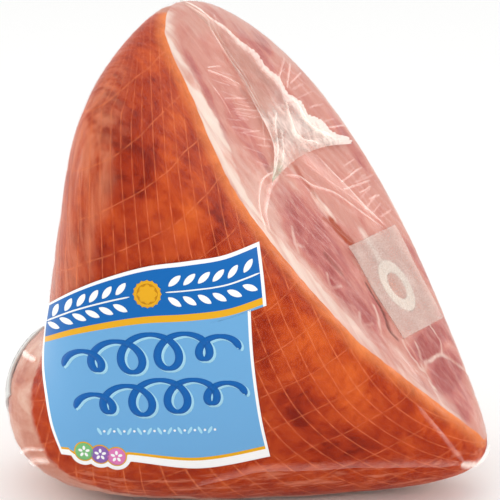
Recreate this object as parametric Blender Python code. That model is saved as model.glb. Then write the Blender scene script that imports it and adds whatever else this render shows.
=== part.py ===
# Half leg ham on the bone, sold whole in clear shrink film.
#
# The meat is one plump, faceted solid with a sawn face that leans back at its upper right, where the
# thigh bone shows under a square guard pad. A bulge of bare meat stands out at the lower left.
# Film gathered into a puckered flap lies on the face, a printed label wraps the rind in front and a
# plain sticker the bulge. Metres, +Z up, the rind's broad side towards -Y, standing on Z = 0 with the
# origin under the middle of the whole.

import math

import bmesh
import bpy
import numpy as np
from mathutils import Vector

MM = 0.001

# The body: a convex rounded form whose sides stand off its centre at azimuth, elevation (degrees)
# and distance (mm). A higher roundness makes the sides flatter and the turns between them tighter.
BODY_CENTRE = (-22.1, -11.0, 91.5)
BODY_ROUNDNESS = 6.0
BODY_SIDES = {
    "left": (169, 14, 75),
    "left_front": (-145, -9, 94),
    "front": (-96, -13, 97),
    "right_front": (-25, 37, 77),
    "right_back": (44, 11, 253),
    "back": (87, -14, 111),
    "left_back": (142, 2, 83),
    "bottom": (0, -90, 97),
    "bottom_front": (-82, -27, 75),
    "bottom_left": (179, -61, 108),
    "bottom_back": (95, -45, 124),
    "low_tip": (60, -30, 114),
    "top_left": (181, 39, 246),
    "top_front": (-105, 32, 181),
    "top_right": (0, 48, 232),
    "top_back": (87, 40, 216),
    "far_top": (117, 38, 181),
    "far_side": (70, 4, 193),
}

# The bulge of bare meat at the butt end: a boxy ellipsoid, tipped about Y, that swells out of the body.
BULGE_CENTRE = (-36.1, 2.0, 50.0)
BULGE_RADII = (88.0, 64.0, 46.0)
BULGE_TILT = 5.0
BULGE_BOXINESS = 2.6
BULGE_BLEND = 14.0

# The sawn face: the way it looks, how far it stands off the body's centre, and its softened rim.
CUT_AZIMUTH = -22.4
CUT_ELEVATION = 36.4
CUT_DISTANCE = 75.2
CUT_RIM_SHARPNESS = 50.0
FACE_MIDDLE = (53.4, 8.5, 139.0)

# The skin is laid out in rings about a line from inside the body to the face.
HUB = (11.4, 20.0, 100.0)
SEGMENTS = 84
FACE_RINGS = 7
SIDE_RINGS = 25
FACE_RING_EASE = 1.4
SIDE_RING_EASE = 1.15

# The thigh bone, seen end on in the face: place on the face (across, up the slope), sizes in mm.
BONE_PLACE = (11.6, -42.2)
BONE_RADIUS = 15.3
MARROW_RADIUS = 7.8
BONE_DEPTH = 75.0
BONE_RIDGE = 0.06
BONE_SIDES = 36

# The guard pad over the bone: its corners on the face, and how it ripples over what lies under it.
PAD_CORNERS = ((-20.1, -65.3), (36.8, -70.6), (50.1, -15.3), (-15.6, -10.7))
PAD_THICKNESS = 0.7
PAD_RIPPLE = 0.5
PAD_GRID = 10

# The film flap: its left fold and its puckered right welt, from the tip over the top of the ham down to
# the foot. Points are on the face, across and up the slope.
FLAP_FOLD = ((-22.8, 141.0), (-10.0, 120.0), (-13.0, 99.0), (-16.5, 77.0), (-24.0, 54.0), (-50.0, 37.0))
FLAP_WELT = ((-20.8, 141.5), (-1.5, 123.0), (16.0, 98.0), (24.0, 73.0), (36.0, 53.0), (58.0, 34.0))
FLAP_THICKNESS = 0.6
FLAP_LIFT = 0.9
FLAP_WELT_LIFT = 4.5
FLAP_PUCKER = 1.5
FLAP_PUCKERS = 7.0
FLAP_ROWS = 26
FLAP_COLUMNS = 12

# The front label, laid out flat as seen from the front and a little above, then wrapped on the skin.
# Each edge runs through a few evenly spaced points, in mm from the label's middle.
LABEL_FACING = (-90.0, 15.0)
LABEL_MIDDLE = (-42.6, 0.0, 62.0)
LABEL_TOP = ((-53.6, 34.8), (-37.0, 43.0), (-20.7, 49.2), (-3.0, 54.0), (15.0, 56.2), (32.0, 58.7), (48.2, 64.9))
LABEL_LEFT = ((-49.2, -40.2), (-54.0, -26.0), (-56.5, -10.5), (-58.2, 5.0), (-57.2, 20.5), (-53.6, 34.8))
LABEL_PANEL_RIGHT = ((54.4, -40.5), (50.4, -22.0), (47.6, -3.5), (45.6, 15.0), (44.4, 33.5))
LABEL_BAND_RIGHT = ((51.8, 34.8), (50.2, 49.4), (48.2, 64.9))
LABEL_BOTTOM = ((-49.2, -40.2), (-14.9, -42.6), (19.7, -46.4), (54.4, -40.5))
LABEL_SHOULDER = 0.71
LABEL_BADGES = ((-37.3, -37.9), (-29.2, -39.1), (-21.2, -40.0))
LABEL_BADGE_RADIUS = 7.2
LABEL_THICKNESS = 0.5
LABEL_COLUMNS = 26
LABEL_ROWS = 20
# The columns crowd towards the left edge, where the label turns away round the side of the ham.
LABEL_CROWDING = 2.0

# The plain sticker round the bulge: corners as seen from the side, in mm from its middle.
STICKER_FACING = (175.0, 10.0)
STICKER_MIDDLE = (0.0, 20.0, 48.0)
STICKER_CORNERS = ((-12.0, -10.0), (24.0, -38.0), (55.0, -13.0), (16.0, 13.0))
STICKER_THICKNESS = 0.5
STICKER_GRID = 12

# The ham has settled on a flat patch of its underside.
BASE_HEIGHT = 0.0
# Clear gap between pieces that touch, and the room that a thin skin keeps to the faceted meat.
GAP = 0.3
SKIN_GAP = 0.7

COLOURS = {
    "ham": ("B8492A", 0.42),
    "femur": ("E9D9BE", 0.6),
    "marrow": ("A8695A", 0.7),
    "film_flap": ("DCC9C1", 0.25),
    "bone_guard": ("E6D3CA", 0.5),
    "front_label": ("6FABD8", 0.35),
    "rear_sticker": ("E4E2DE", 0.45),
}


def direction(azimuth, elevation):
    turn = math.radians(azimuth)
    rise = math.radians(elevation)
    return np.array((math.cos(turn) * math.cos(rise), math.sin(turn) * math.cos(rise), math.sin(rise)))


def across_and_up(facing):
    """The level and the rising direction of the plane that looks along facing."""
    across = np.cross((0.0, 0.0, 1.0), facing)
    across /= np.linalg.norm(across)
    return across, np.cross(facing, across)


SIDE_NORMALS = np.array([direction(azimuth, elevation) for azimuth, elevation, distance in BODY_SIDES.values()])
SIDE_DISTANCES = np.array([distance for azimuth, elevation, distance in BODY_SIDES.values()], float)
CUT_NORMAL = direction(CUT_AZIMUTH, CUT_ELEVATION)
FACE_ACROSS, FACE_UP = across_and_up(CUT_NORMAL)


def body_fullness(points):
    """1 on the body's surface, less inside it."""
    stand = np.maximum(0.0, (points - np.array(BODY_CENTRE)) @ SIDE_NORMALS.T / SIDE_DISTANCES)
    return (stand ** BODY_ROUNDNESS).sum(-1) ** (1.0 / BODY_ROUNDNESS)


def bulge_fullness(points):
    tilt = math.radians(BULGE_TILT)
    offset = points - np.array(BULGE_CENTRE)
    along = math.cos(tilt) * offset[..., 0] + math.sin(tilt) * offset[..., 2]
    height = math.cos(tilt) * offset[..., 2] - math.sin(tilt) * offset[..., 0]
    spans = (along, offset[..., 1], height)
    total = sum(np.abs(span / radius) ** BULGE_BOXINESS for span, radius in zip(spans, BULGE_RADII))
    return total ** (1.0 / BULGE_BOXINESS)


def skin_fullness(points):
    """The body and its bulge run into each other in a soft crease."""
    body = np.maximum(body_fullness(points), 1e-6)
    bulge = np.maximum(bulge_fullness(points), 1e-6)
    return (body ** -BULGE_BLEND + bulge ** -BULGE_BLEND) ** (-1.0 / BULGE_BLEND)


def fullness(points):
    """The skin, sawn off at the face with a softened rim."""
    cut = np.maximum(0.0, (points - np.array(BODY_CENTRE)) @ CUT_NORMAL / CUT_DISTANCE)
    return (skin_fullness(points) ** CUT_RIM_SHARPNESS + cut ** CUT_RIM_SHARPNESS) ** (1.0 / CUT_RIM_SHARPNESS)


def reach(measure, start, ways, longest=330.0):
    """How far each way runs from an inside point to where the measure passes 1."""
    near = np.zeros(len(ways))
    far = np.full(len(ways), longest)
    for _ in range(36):
        middle = (near + far) / 2.0
        inside = measure(start + ways * middle[:, None]) < 1.0
        near = np.where(inside, middle, near)
        far = np.where(inside, far, middle)
    return near


def outward(points, step=0.5):
    """Unit normals of the skin, pointing away from the meat."""
    slopes = [fullness(points + np.eye(3)[axis] * step) - fullness(points - np.eye(3)[axis] * step)
              for axis in range(3)]
    slopes = np.stack(slopes, 1)
    return slopes / np.linalg.norm(slopes, axis=1)[:, None]


def onto_skin(flat, middle, facing):
    """Points of a flat layout, dropped onto the skin against the way the layout faces."""
    look = direction(*facing)
    across, up = across_and_up(look)
    start = np.array(middle) + flat[:, :1] * across + flat[:, 1:2] * up
    steps = np.linspace(200.0, -120.0, 321)
    inside = fullness(start[:, None, :] + steps[None, :, None] * look) < 1.0
    first = steps[np.argmax(inside, 1)]
    low, high = first, first + 1.0
    for _ in range(20):
        halfway = (low + high) / 2.0
        under = fullness(start + halfway[:, None] * look) < 1.0
        low = np.where(under, halfway, low)
        high = np.where(under, high, halfway)
    return start + low[:, None] * look


def through(points, share):
    """A smooth line through a few points, at shares 0 to 1 of the way along."""
    points = np.array(points, float)
    place = np.clip(share, 0.0, 1.0) * (len(points) - 1)
    index = np.minimum(place.astype(int), len(points) - 2)
    part = (place - index)[:, None]
    before = points[np.maximum(index - 1, 0)]
    start = points[index]
    end = points[index + 1]
    after = points[np.minimum(index + 2, len(points) - 1)]
    return 0.5 * (2 * start + (end - before) * part + (2 * before - 5 * start + 4 * end - after) * part ** 2
                  + (3 * start - before - 3 * end + after) * part ** 3)


def on_face(across, up, height):
    """A place on the sawn face, at a height above it."""
    middle = np.array(FACE_MIDDLE)
    middle = middle + (CUT_DISTANCE - (middle - np.array(BODY_CENTRE)) @ CUT_NORMAL) * CUT_NORMAL
    return (middle + np.multiply.outer(across, FACE_ACROSS) + np.multiply.outer(up, FACE_UP)
            + np.multiply.outer(height, CUT_NORMAL))


def linear(hex_colour):
    channels = [int(hex_colour[start:start + 2], 16) / 255.0 for start in (0, 2, 4)]
    return [c / 12.92 if c <= 0.04045 else ((c + 0.055) / 1.055) ** 2.4 for c in channels] + [1.0]


def finish(name, shape, smooth_angle=40.0):
    """Turn a finished shape, in mm, into a named object with its own material."""
    bmesh.ops.scale(shape, vec=(MM, MM, MM), verts=shape.verts)
    mesh = bpy.data.meshes.new(name)
    shape.to_mesh(mesh)
    shape.free()
    mesh.shade_smooth()
    mesh.set_sharp_from_angle(angle=math.radians(smooth_angle))
    hex_colour, roughness = COLOURS.get(name, ("808080", 0.5))
    material = bpy.data.materials.new(name)
    material.use_nodes = True
    shader = material.node_tree.nodes["Principled BSDF"]
    shader.inputs["Base Color"].default_value = linear(hex_colour)
    shader.inputs["Roughness"].default_value = roughness
    mesh.materials.append(material)
    piece = bpy.data.objects.new(name, mesh)
    bpy.context.scene.collection.objects.link(piece)
    return piece


def move_all(shape, places):
    for vert, place in zip(shape.verts, places):
        vert.co = Vector(place)


def make_ham():
    """Rings of the skin: across the face to its rim, then round the body to the far pole."""
    shape = bmesh.new()
    rings = FACE_RINGS + SIDE_RINGS
    bmesh.ops.create_uvsphere(shape, u_segments=SEGMENTS, v_segments=rings, radius=1.0)
    ball = np.array([vert.co[:] for vert in shape.verts])
    ring = np.rint(np.arccos(np.clip(ball[:, 2], -1.0, 1.0)) / math.pi * rings)
    turn = np.arctan2(ball[:, 1], ball[:, 0])
    spoke = np.cos(turn)[:, None] * FACE_ACROSS + np.sin(turn)[:, None] * FACE_UP
    hub = np.array(HUB)
    face_height = CUT_DISTANCE - (hub - np.array(BODY_CENTRE)) @ CUT_NORMAL
    rim = reach(skin_fullness, hub + face_height * CUT_NORMAL, spoke)
    rim_angle = np.arctan2(rim, face_height)
    face_share = 1.0 - (1.0 - np.minimum(ring / FACE_RINGS, 1.0)) ** FACE_RING_EASE
    side_share = np.maximum(0.0, (ring - FACE_RINGS) / SIDE_RINGS) ** SIDE_RING_EASE
    angle = np.where(ring <= FACE_RINGS, np.arctan2(face_share * rim, face_height),
                     rim_angle + side_share * (math.pi - rim_angle))
    ways = np.cos(angle)[:, None] * CUT_NORMAL + np.sin(angle)[:, None] * spoke
    places = hub + ways * reach(fullness, hub, ways)[:, None]
    places[:, 2] = np.maximum(places[:, 2], BASE_HEIGHT)
    move_all(shape, places)
    bmesh.ops.triangulate(shape, faces=shape.faces)
    bmesh.ops.recalc_face_normals(shape, faces=shape.faces)
    return finish("ham", shape)


def bone_section(radius):
    """The thigh bone's outline: nearly round, with the ridge along its back."""
    turn = np.linspace(0.0, 2.0 * math.pi, BONE_SIDES, endpoint=False)
    swell = 1.0 + BONE_RIDGE * np.cos(turn - 0.6) ** 3 + 0.02 * np.cos(2.0 * turn)
    return radius * swell * np.cos(turn), radius * swell * np.sin(turn)


def bone_ring(shape, radius, depth):
    across, down = bone_section(radius)
    places = on_face(BONE_PLACE[0] + across, BONE_PLACE[1] + down, np.full(BONE_SIDES, -depth))
    return [shape.verts.new(place) for place in places]


def close_between(shape, first, second):
    count = len(first)
    for index in range(count):
        after = (index + 1) % count
        shape.faces.new((first[index], first[after], second[after], second[index]))


def make_plug(name, radius, top, bottom):
    """A solid rod of the bone's section, from one depth below the face to another."""
    shape = bmesh.new()
    upper = bone_ring(shape, radius, top)
    lower = bone_ring(shape, radius, bottom)
    close_between(shape, upper, lower)
    shape.faces.new(upper)
    shape.faces.new(list(reversed(lower)))
    bmesh.ops.recalc_face_normals(shape, faces=shape.faces)
    return finish(name, shape)


def make_femur():
    """The bone's wall: a tube of the bone's section, open at both ends."""
    shape = bmesh.new()
    outer_top = bone_ring(shape, BONE_RADIUS, 0.0)
    outer_end = bone_ring(shape, BONE_RADIUS, BONE_DEPTH)
    inner_top = bone_ring(shape, MARROW_RADIUS + GAP, 0.0)
    inner_end = bone_ring(shape, MARROW_RADIUS + GAP, BONE_DEPTH)
    close_between(shape, outer_top, outer_end)
    close_between(shape, inner_top, inner_end)
    close_between(shape, outer_top, inner_top)
    close_between(shape, outer_end, inner_end)
    bmesh.ops.recalc_face_normals(shape, faces=shape.faces)
    return finish("femur", shape)


def bore_for_bone(ham):
    cutter = make_plug("bone_bore", BONE_RADIUS + GAP, -4.0, BONE_DEPTH + GAP)
    cutter.hide_render = True
    cutter.display_type = "WIRE"
    cut = ham.modifiers.new("bone_bore", "BOOLEAN")
    cut.operation = "DIFFERENCE"
    cut.solver = "EXACT"
    cut.object = cutter


def sheet_grid(columns, rows):
    """A flat grid and each point's share across and up it, 0 to 1."""
    shape = bmesh.new()
    bmesh.ops.create_grid(shape, x_segments=columns, y_segments=rows, size=1.0)
    flat = np.array([vert.co[:2] for vert in shape.verts])
    return shape, (flat[:, 0] + 1.0) / 2.0, (flat[:, 1] + 1.0) / 2.0


def thicken(shape, places, lifted):
    """Close a sheet with a second side at the lifted places, one rim joining the two."""
    move_all(shape, places)
    bmesh.ops.triangulate(shape, faces=shape.faces)
    twin = bmesh.ops.duplicate(shape, geom=shape.faces[:])
    partner = twin["vert_map"]
    first_side = [vert for vert in shape.verts if vert.index >= 0 and vert.index < len(places)]
    for vert, place in zip(first_side, lifted):
        partner[vert].co = Vector(place)
    rims = [edge for edge in shape.edges if edge.is_boundary]
    bmesh.ops.bridge_loops(shape, edges=rims)
    bmesh.ops.triangulate(shape, faces=shape.faces)
    bmesh.ops.recalc_face_normals(shape, faces=shape.faces)


def between(corners, across, up):
    """A place in a four-cornered patch: corners run round from the lower left."""
    corners = np.array(corners)
    low = corners[0] + across[:, None] * (corners[1] - corners[0])
    high = corners[3] + across[:, None] * (corners[2] - corners[3])
    return low + up[:, None] * (high - low)


def make_bone_guard():
    shape, across, up = sheet_grid(PAD_GRID, PAD_GRID)
    flat = between(PAD_CORNERS, across, up)
    ripple = PAD_RIPPLE * (1.0 + np.sin(9.0 * across + 2.0 * up) * np.cos(7.0 * up - 3.0 * across))
    under = on_face(flat[:, 0], flat[:, 1], GAP + ripple)
    over = on_face(flat[:, 0], flat[:, 1], GAP + ripple + PAD_THICKNESS)
    thicken(shape, under, over)
    return finish("bone_guard", shape)


def make_film_flap():
    """Film gathered from a tip above the ham into a wide foot, its right welt raised and puckered."""
    shape, across, up = sheet_grid(FLAP_COLUMNS, FLAP_ROWS)
    down = 1.0 - up
    fold = through(FLAP_FOLD, down)
    welt = through(FLAP_WELT, down)
    flat = fold + across[:, None] * (welt - fold)
    gathers = np.sin(2.0 * math.pi * (FLAP_PUCKERS * down + 0.6 * across))
    rise = across ** 3
    sag = np.sin(math.pi * across) * np.sin(3.0 * math.pi * down + 2.0 * across)
    height = (SKIN_GAP + FLAP_LIFT * (1.0 + 0.6 * sag) * np.minimum(1.0, 6.0 * down + 0.4)
              + rise * down ** 0.6 * (FLAP_WELT_LIFT * (1.0 - 0.5 * down) + FLAP_PUCKER * gathers))
    under = on_face(flat[:, 0], flat[:, 1], height)
    over = on_face(flat[:, 0], flat[:, 1], height + FLAP_THICKNESS)
    thicken(shape, under, over)
    return finish("film_flap", shape)


def label_bottom(share):
    """The label's lower edge, let down round the row of badges."""
    line = through(LABEL_BOTTOM, share)
    for middle_across, middle_up in LABEL_BADGES:
        room = LABEL_BADGE_RADIUS ** 2 - (line[:, 0] - middle_across) ** 2
        dip = middle_up - np.sqrt(np.maximum(room, 0.0))
        line[:, 1] = np.where(room > 0.0, np.minimum(line[:, 1], dip), line[:, 1])
    return line


def label_right(share):
    """The panel's right edge, then the shoulder where the wider band starts."""
    panel = through(LABEL_PANEL_RIGHT, share / LABEL_SHOULDER)
    band = through(LABEL_BAND_RIGHT, (share - LABEL_SHOULDER) / (1.0 - LABEL_SHOULDER))
    return np.where((share < LABEL_SHOULDER)[:, None], panel, band)


def label_layout(across, up):
    """The label laid out flat between its four edges."""
    low = label_bottom(across)
    high = through(LABEL_TOP, across)
    left = through(LABEL_LEFT, up)
    right = label_right(up)
    corner = between((LABEL_LEFT[0], LABEL_PANEL_RIGHT[0], LABEL_BAND_RIGHT[-1], LABEL_LEFT[-1]), across, up)
    a = across[:, None]
    u = up[:, None]
    return (1.0 - a) * left + a * right + (1.0 - u) * low + u * high - corner


def make_skin_patch(name, shape, flat, middle, facing, thickness):
    """A thin printed skin: the flat layout wrapped on the ham, just clear of it."""
    places = onto_skin(flat, middle, facing)
    away = outward(places)
    thicken(shape, places + away * SKIN_GAP, places + away * (SKIN_GAP + thickness))
    return finish(name, shape)


def make_front_label():
    shape, across, up = sheet_grid(LABEL_COLUMNS, LABEL_ROWS)
    flat = label_layout(across ** LABEL_CROWDING, up)
    return make_skin_patch("front_label", shape, flat, LABEL_MIDDLE, LABEL_FACING, LABEL_THICKNESS)


def make_rear_sticker():
    shape, across, up = sheet_grid(STICKER_GRID, STICKER_GRID)
    flat = between(STICKER_CORNERS, across, up)
    return make_skin_patch("rear_sticker", shape, flat, STICKER_MIDDLE, STICKER_FACING, STICKER_THICKNESS)


def main():
    for thing in list(bpy.data.objects):
        bpy.data.objects.remove(thing, do_unlink=True)
    ham = make_ham()
    bore_for_bone(ham)
    make_femur()
    make_plug("marrow", MARROW_RADIUS, 0.0, BONE_DEPTH)
    make_bone_guard()
    make_film_flap()
    make_front_label()
    make_rear_sticker()


main()
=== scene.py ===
import math
import random

import bmesh
import bpy
import numpy as np
from mathutils import Matrix, Vector, noise


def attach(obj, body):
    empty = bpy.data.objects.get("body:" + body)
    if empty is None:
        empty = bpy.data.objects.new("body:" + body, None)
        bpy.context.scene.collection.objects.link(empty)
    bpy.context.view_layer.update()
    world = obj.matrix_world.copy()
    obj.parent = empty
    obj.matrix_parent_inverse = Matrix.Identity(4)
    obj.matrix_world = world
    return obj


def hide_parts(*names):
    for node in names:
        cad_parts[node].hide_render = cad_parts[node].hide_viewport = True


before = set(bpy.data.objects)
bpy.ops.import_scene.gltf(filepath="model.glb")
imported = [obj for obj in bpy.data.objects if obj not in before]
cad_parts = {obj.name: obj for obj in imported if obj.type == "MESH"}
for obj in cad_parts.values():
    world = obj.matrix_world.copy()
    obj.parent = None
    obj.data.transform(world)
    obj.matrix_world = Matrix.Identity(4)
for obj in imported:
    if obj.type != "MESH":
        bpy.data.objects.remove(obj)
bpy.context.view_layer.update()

# A cooked half leg ham on the bone in clear shrink film. The CAD gives the form: the meat, the film and
# the label are laid again on the same curves, only finer. Lengths in the dictionaries are millimetres.

millimetre = 0.001


def linear(hexColour, alpha=1.0):
    channels = [int(hexColour[start:start + 2], 16) / 255.0 for start in (0, 2, 4)]
    return [c / 12.92 if c <= 0.04045 else ((c + 0.055) / 1.055) ** 2.4 for c in channels] + [alpha]


def addNode(tree, kind, inputs=None, stops=None, **settings):
    # One node. inputs holds numbers, colours, sockets, or nodes, which stand for their first output in use;
    # stops is for a colour ramp.
    node = tree.nodes.new("ShaderNode" + kind)
    for name, value in settings.items():
        setattr(node, name, value)
    for key, value in (inputs or {}).items():
        if isinstance(value, bpy.types.Node):
            value = next(socket for socket in value.outputs if socket.enabled)
        if isinstance(value, bpy.types.NodeSocket):
            tree.links.new(value, node.inputs[key])
        else:
            node.inputs[key].default_value = value
    if stops:
        ramp = node.color_ramp
        while len(ramp.elements) < len(stops):
            ramp.elements.new(0.5)
        for element, (place, colour) in zip(ramp.elements, stops):
            element.position = place
            element.color = colour
    return node


def newMaterial(name):
    material = bpy.data.materials.new(name)
    material.use_nodes = True
    material.node_tree.nodes.clear()
    return material, material.node_tree


def smoothStep(low, high, value):
    share = np.clip((value - low) / (high - low), 0.0, 1.0)
    return share * share * (3.0 - 2.0 * share)


def noiseAt(points, size, seed=0.0):
    # Perlin noise, about -1 to 1, at a grain size in mm.
    shift = Vector((seed, 1.7 * seed, -0.6 * seed))
    return np.array([noise.noise(Vector(point) / size + shift) for point in points])


def through(points, share):
    # A smooth line through a few points, at shares 0 to 1 of the way along.
    points = np.array(points, float)
    place = np.clip(share, 0.0, 1.0) * (len(points) - 1)
    index = np.minimum(place.astype(int), len(points) - 2)
    part = (place - index)[:, None]
    before = points[np.maximum(index - 1, 0)]
    start = points[index]
    end = points[index + 1]
    after = points[np.minimum(index + 2, len(points) - 1)]
    return 0.5 * (2 * start + (end - before) * part + (2 * before - 5 * start + 4 * end - after) * part ** 2
                  + (3 * start - before - 3 * end + after) * part ** 3)


def between(corners, across, up):
    corners = np.array(corners)
    low = corners[0] + across[:, None] * (corners[1] - corners[0])
    high = corners[3] + across[:, None] * (corners[2] - corners[3])
    return low + up[:, None] * (high - low)


def gridIn(shape, columns, rows):
    # A flat grid added to a shape: its vertices, and each one's share across and up.
    made = bmesh.ops.create_grid(shape, x_segments=columns, y_segments=rows, size=1.0)["verts"]
    flat = np.array([vert.co[:2] for vert in made])
    return made, (flat[:, 0] + 1.0) / 2.0, (flat[:, 1] + 1.0) / 2.0


def moveTo(verts, places):
    for vert, place in zip(verts, places):
        vert.co = Vector(place) * millimetre


def setLayout(shape, name, across, up):
    # A UV map from each vertex's share across and up.
    layer = shape.loops.layers.uv.new(name)
    for face in shape.faces:
        for loop in face.loops:
            loop[layer].uv = (across[loop.vert.index], up[loop.vert.index])


def setAttribute(mesh, name, values):
    layer = mesh.attributes.new(name, "FLOAT", "POINT")
    layer.data.foreach_set("value", np.asarray(values, np.float32))


def pointsOf(mesh):
    flat = np.zeros(len(mesh.vertices) * 3, np.float32)
    mesh.vertices.foreach_get("co", flat)
    return flat.reshape(-1, 3).astype(float) / millimetre


def finishPiece(name, shape, slotName, *materials):
    mesh = bpy.data.meshes.new(name)
    shape.to_mesh(mesh)
    shape.free()
    for material in materials:
        mesh.materials.append(material)
    mesh.shade_smooth()
    piece = bpy.data.objects.new(name, mesh)
    bpy.context.scene.collection.objects.link(piece)
    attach(piece, "root")
    return piece


def wallInward(piece, thickness, undersideSlot=0):
    # undersideSlot: how many material slots further on the new lower side takes its material from.
    wall = piece.modifiers.new("wall", "SOLIDIFY")
    wall.thickness = thickness * millimetre
    wall.offset = -1.0
    wall.use_even_offset = False
    wall.material_offset = undersideSlot


# The ham's form, as the CAD has it.
hamForm = {
    "bodyCentre": (-22.1, -11.0, 91.5),
    "bodyRoundness": 6.0,
    "bodySides": (  # azimuth, elevation, distance from the centre
        (169, 14, 75), (-145, -9, 94), (-96, -13, 97), (-25, 37, 77), (44, 11, 253), (87, -14, 111),
        (142, 2, 83), (0, -90, 97), (-82, -27, 75), (179, -61, 108), (95, -45, 124), (60, -30, 114),
        (181, 39, 246), (-105, 32, 181), (0, 48, 232), (87, 40, 216), (117, 38, 181), (70, 4, 193)),
    "bulgeCentre": (-36.1, 2.0, 50.0),
    "bulgeRadii": (88.0, 64.0, 46.0),
    "bulgeTilt": 5.0,
    "bulgeBoxiness": 2.6,
    "bulgeBlend": 14.0,
    "cutFacing": (-22.4, 36.4),
    "cutDistance": 75.2,
    "rimSharpness": 50.0,
    "faceMiddle": (53.4, 8.5, 139.0),
    "hub": (11.4, 20.0, 100.0),
}


def direction(azimuth, elevation):
    turn = math.radians(azimuth)
    rise = math.radians(elevation)
    return np.array((math.cos(turn) * math.cos(rise), math.sin(turn) * math.cos(rise), math.sin(rise)))


def acrossAndUp(facing):
    across = np.cross((0.0, 0.0, 1.0), facing)
    across /= np.linalg.norm(across)
    return across, np.cross(facing, across)


bodyCentre = np.array(hamForm["bodyCentre"])
sideNormals = np.array([direction(side[0], side[1]) for side in hamForm["bodySides"]])
sideDistances = np.array([side[2] for side in hamForm["bodySides"]], float)
cutNormal = direction(*hamForm["cutFacing"])
faceAcross, faceUp = acrossAndUp(cutNormal)
faceOrigin = np.array(hamForm["faceMiddle"])
faceOrigin = faceOrigin + (hamForm["cutDistance"] - (faceOrigin - bodyCentre) @ cutNormal) * cutNormal
hub = np.array(hamForm["hub"])
hubDepth = hamForm["cutDistance"] - (hub - bodyCentre) @ cutNormal


def skinFullness(points):
    # 1 on the skin, less inside it: the body and its bulge run into each other in a soft crease.
    form = hamForm
    stand = np.maximum(0.0, (points - bodyCentre) @ sideNormals.T / sideDistances)
    body = (stand ** form["bodyRoundness"]).sum(-1) ** (1.0 / form["bodyRoundness"])
    tilt = math.radians(form["bulgeTilt"])
    offset = points - np.array(form["bulgeCentre"])
    along = math.cos(tilt) * offset[..., 0] + math.sin(tilt) * offset[..., 2]
    height = math.cos(tilt) * offset[..., 2] - math.sin(tilt) * offset[..., 0]
    total = sum(np.abs(span / radius) ** form["bulgeBoxiness"]
                for span, radius in zip((along, offset[..., 1], height), form["bulgeRadii"]))
    bulge = total ** (1.0 / form["bulgeBoxiness"])
    blend = form["bulgeBlend"]
    return (np.maximum(body, 1e-6) ** -blend + np.maximum(bulge, 1e-6) ** -blend) ** (-1.0 / blend)


def fullness(points):
    sharp = hamForm["rimSharpness"]
    cut = np.maximum(0.0, (points - bodyCentre) @ cutNormal / hamForm["cutDistance"])
    return (skinFullness(points) ** sharp + cut ** sharp) ** (1.0 / sharp)


def reach(measure, start, ways, longest=330.0):
    near = np.zeros(len(ways))
    far = np.full(len(ways), longest)
    for _ in range(26):
        middle = (near + far) / 2.0
        inside = measure(start + ways * middle[:, None]) < 1.0
        near = np.where(inside, middle, near)
        far = np.where(inside, far, middle)
    return near


def outward(points, step=0.5):
    slopes = np.stack([fullness(points + np.eye(3)[axis] * step) - fullness(points - np.eye(3)[axis] * step)
                       for axis in range(3)], 1)
    return slopes / np.linalg.norm(slopes, axis=1)[:, None]


def ontoSkin(flat, middle, facing):
    # Points of a flat layout, dropped onto the skin against the way that the layout faces.
    look = direction(*facing)
    across, up = acrossAndUp(look)
    starts = np.array(middle) + flat[:, :1] * across + flat[:, 1:2] * up
    steps = np.linspace(200.0, -120.0, 129)
    landed = []
    for start in np.array_split(starts, max(1, len(starts) // 4000)):
        inside = fullness(start[:, None, :] + steps[None, :, None] * look) < 1.0
        low = steps[np.argmax(inside, 1)]
        high = low + (steps[0] - steps[1])
        for _ in range(14):
            halfway = (low + high) / 2.0
            under = fullness(start + halfway[:, None] * look) < 1.0
            low = np.where(under, halfway, low)
            high = np.where(under, high, halfway)
        landed.append(start + low[:, None] * look)
    return np.concatenate(landed)


def onFace(across, up, height):
    return (faceOrigin + np.multiply.outer(across, faceAcross) + np.multiply.outer(up, faceUp)
            + np.multiply.outer(height, cutNormal))


def faceCoordinates(points):
    offset = points - faceOrigin
    return offset @ faceAcross, offset @ faceUp


def rimAt(points):
    # How far a point of the face is from the face's rim, along its spoke from the hub.
    offset = points - hub - hubDepth * cutNormal
    spokeAcross, spokeUp = offset @ faceAcross, offset @ faceUp
    radius = np.hypot(spokeAcross, spokeUp) + 1e-9
    spoke = (np.multiply.outer(spokeAcross / radius, faceAcross)
             + np.multiply.outer(spokeUp / radius, faceUp))
    return reach(skinFullness, hub + hubDepth * cutNormal, spoke) - radius


def skinShell(segments, faceRings, sideRings):
    # A ball laid on the ham in rings: across the face to its rim, then round the body to the far pole.
    shape = bmesh.new()
    rings = faceRings + sideRings
    bmesh.ops.create_uvsphere(shape, u_segments=segments, v_segments=rings, radius=1.0)
    ball = np.array([vert.co[:] for vert in shape.verts])
    ring = np.rint(np.arccos(np.clip(ball[:, 2], -1.0, 1.0)) / math.pi * rings)
    turn = np.arctan2(ball[:, 1], ball[:, 0])
    spoke = np.cos(turn)[:, None] * faceAcross + np.sin(turn)[:, None] * faceUp
    rim = reach(skinFullness, hub + hubDepth * cutNormal, spoke)
    rimAngle = np.arctan2(rim, hubDepth)
    faceShare = 1.0 - (1.0 - np.minimum(ring / faceRings, 1.0)) ** 1.15
    sideShare = np.maximum(0.0, (ring - faceRings) / sideRings) ** 1.1
    angle = np.where(ring <= faceRings, np.arctan2(faceShare * rim, hubDepth),
                     rimAngle + sideShare * (math.pi - rimAngle))
    ways = np.cos(angle)[:, None] * cutNormal + np.sin(angle)[:, None] * spoke
    places = hub + ways * reach(fullness, hub, ways)[:, None]
    onCut = ring <= faceRings
    bmesh.ops.recalc_face_normals(shape, faces=shape.faces)
    return shape, places, onCut


cameraView = {
    "target": (1.9, -17.0, 130.0),
    "distance": 1104.0,
    "elevation": 15.0,
    "lens": 157.1,
}

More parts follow.
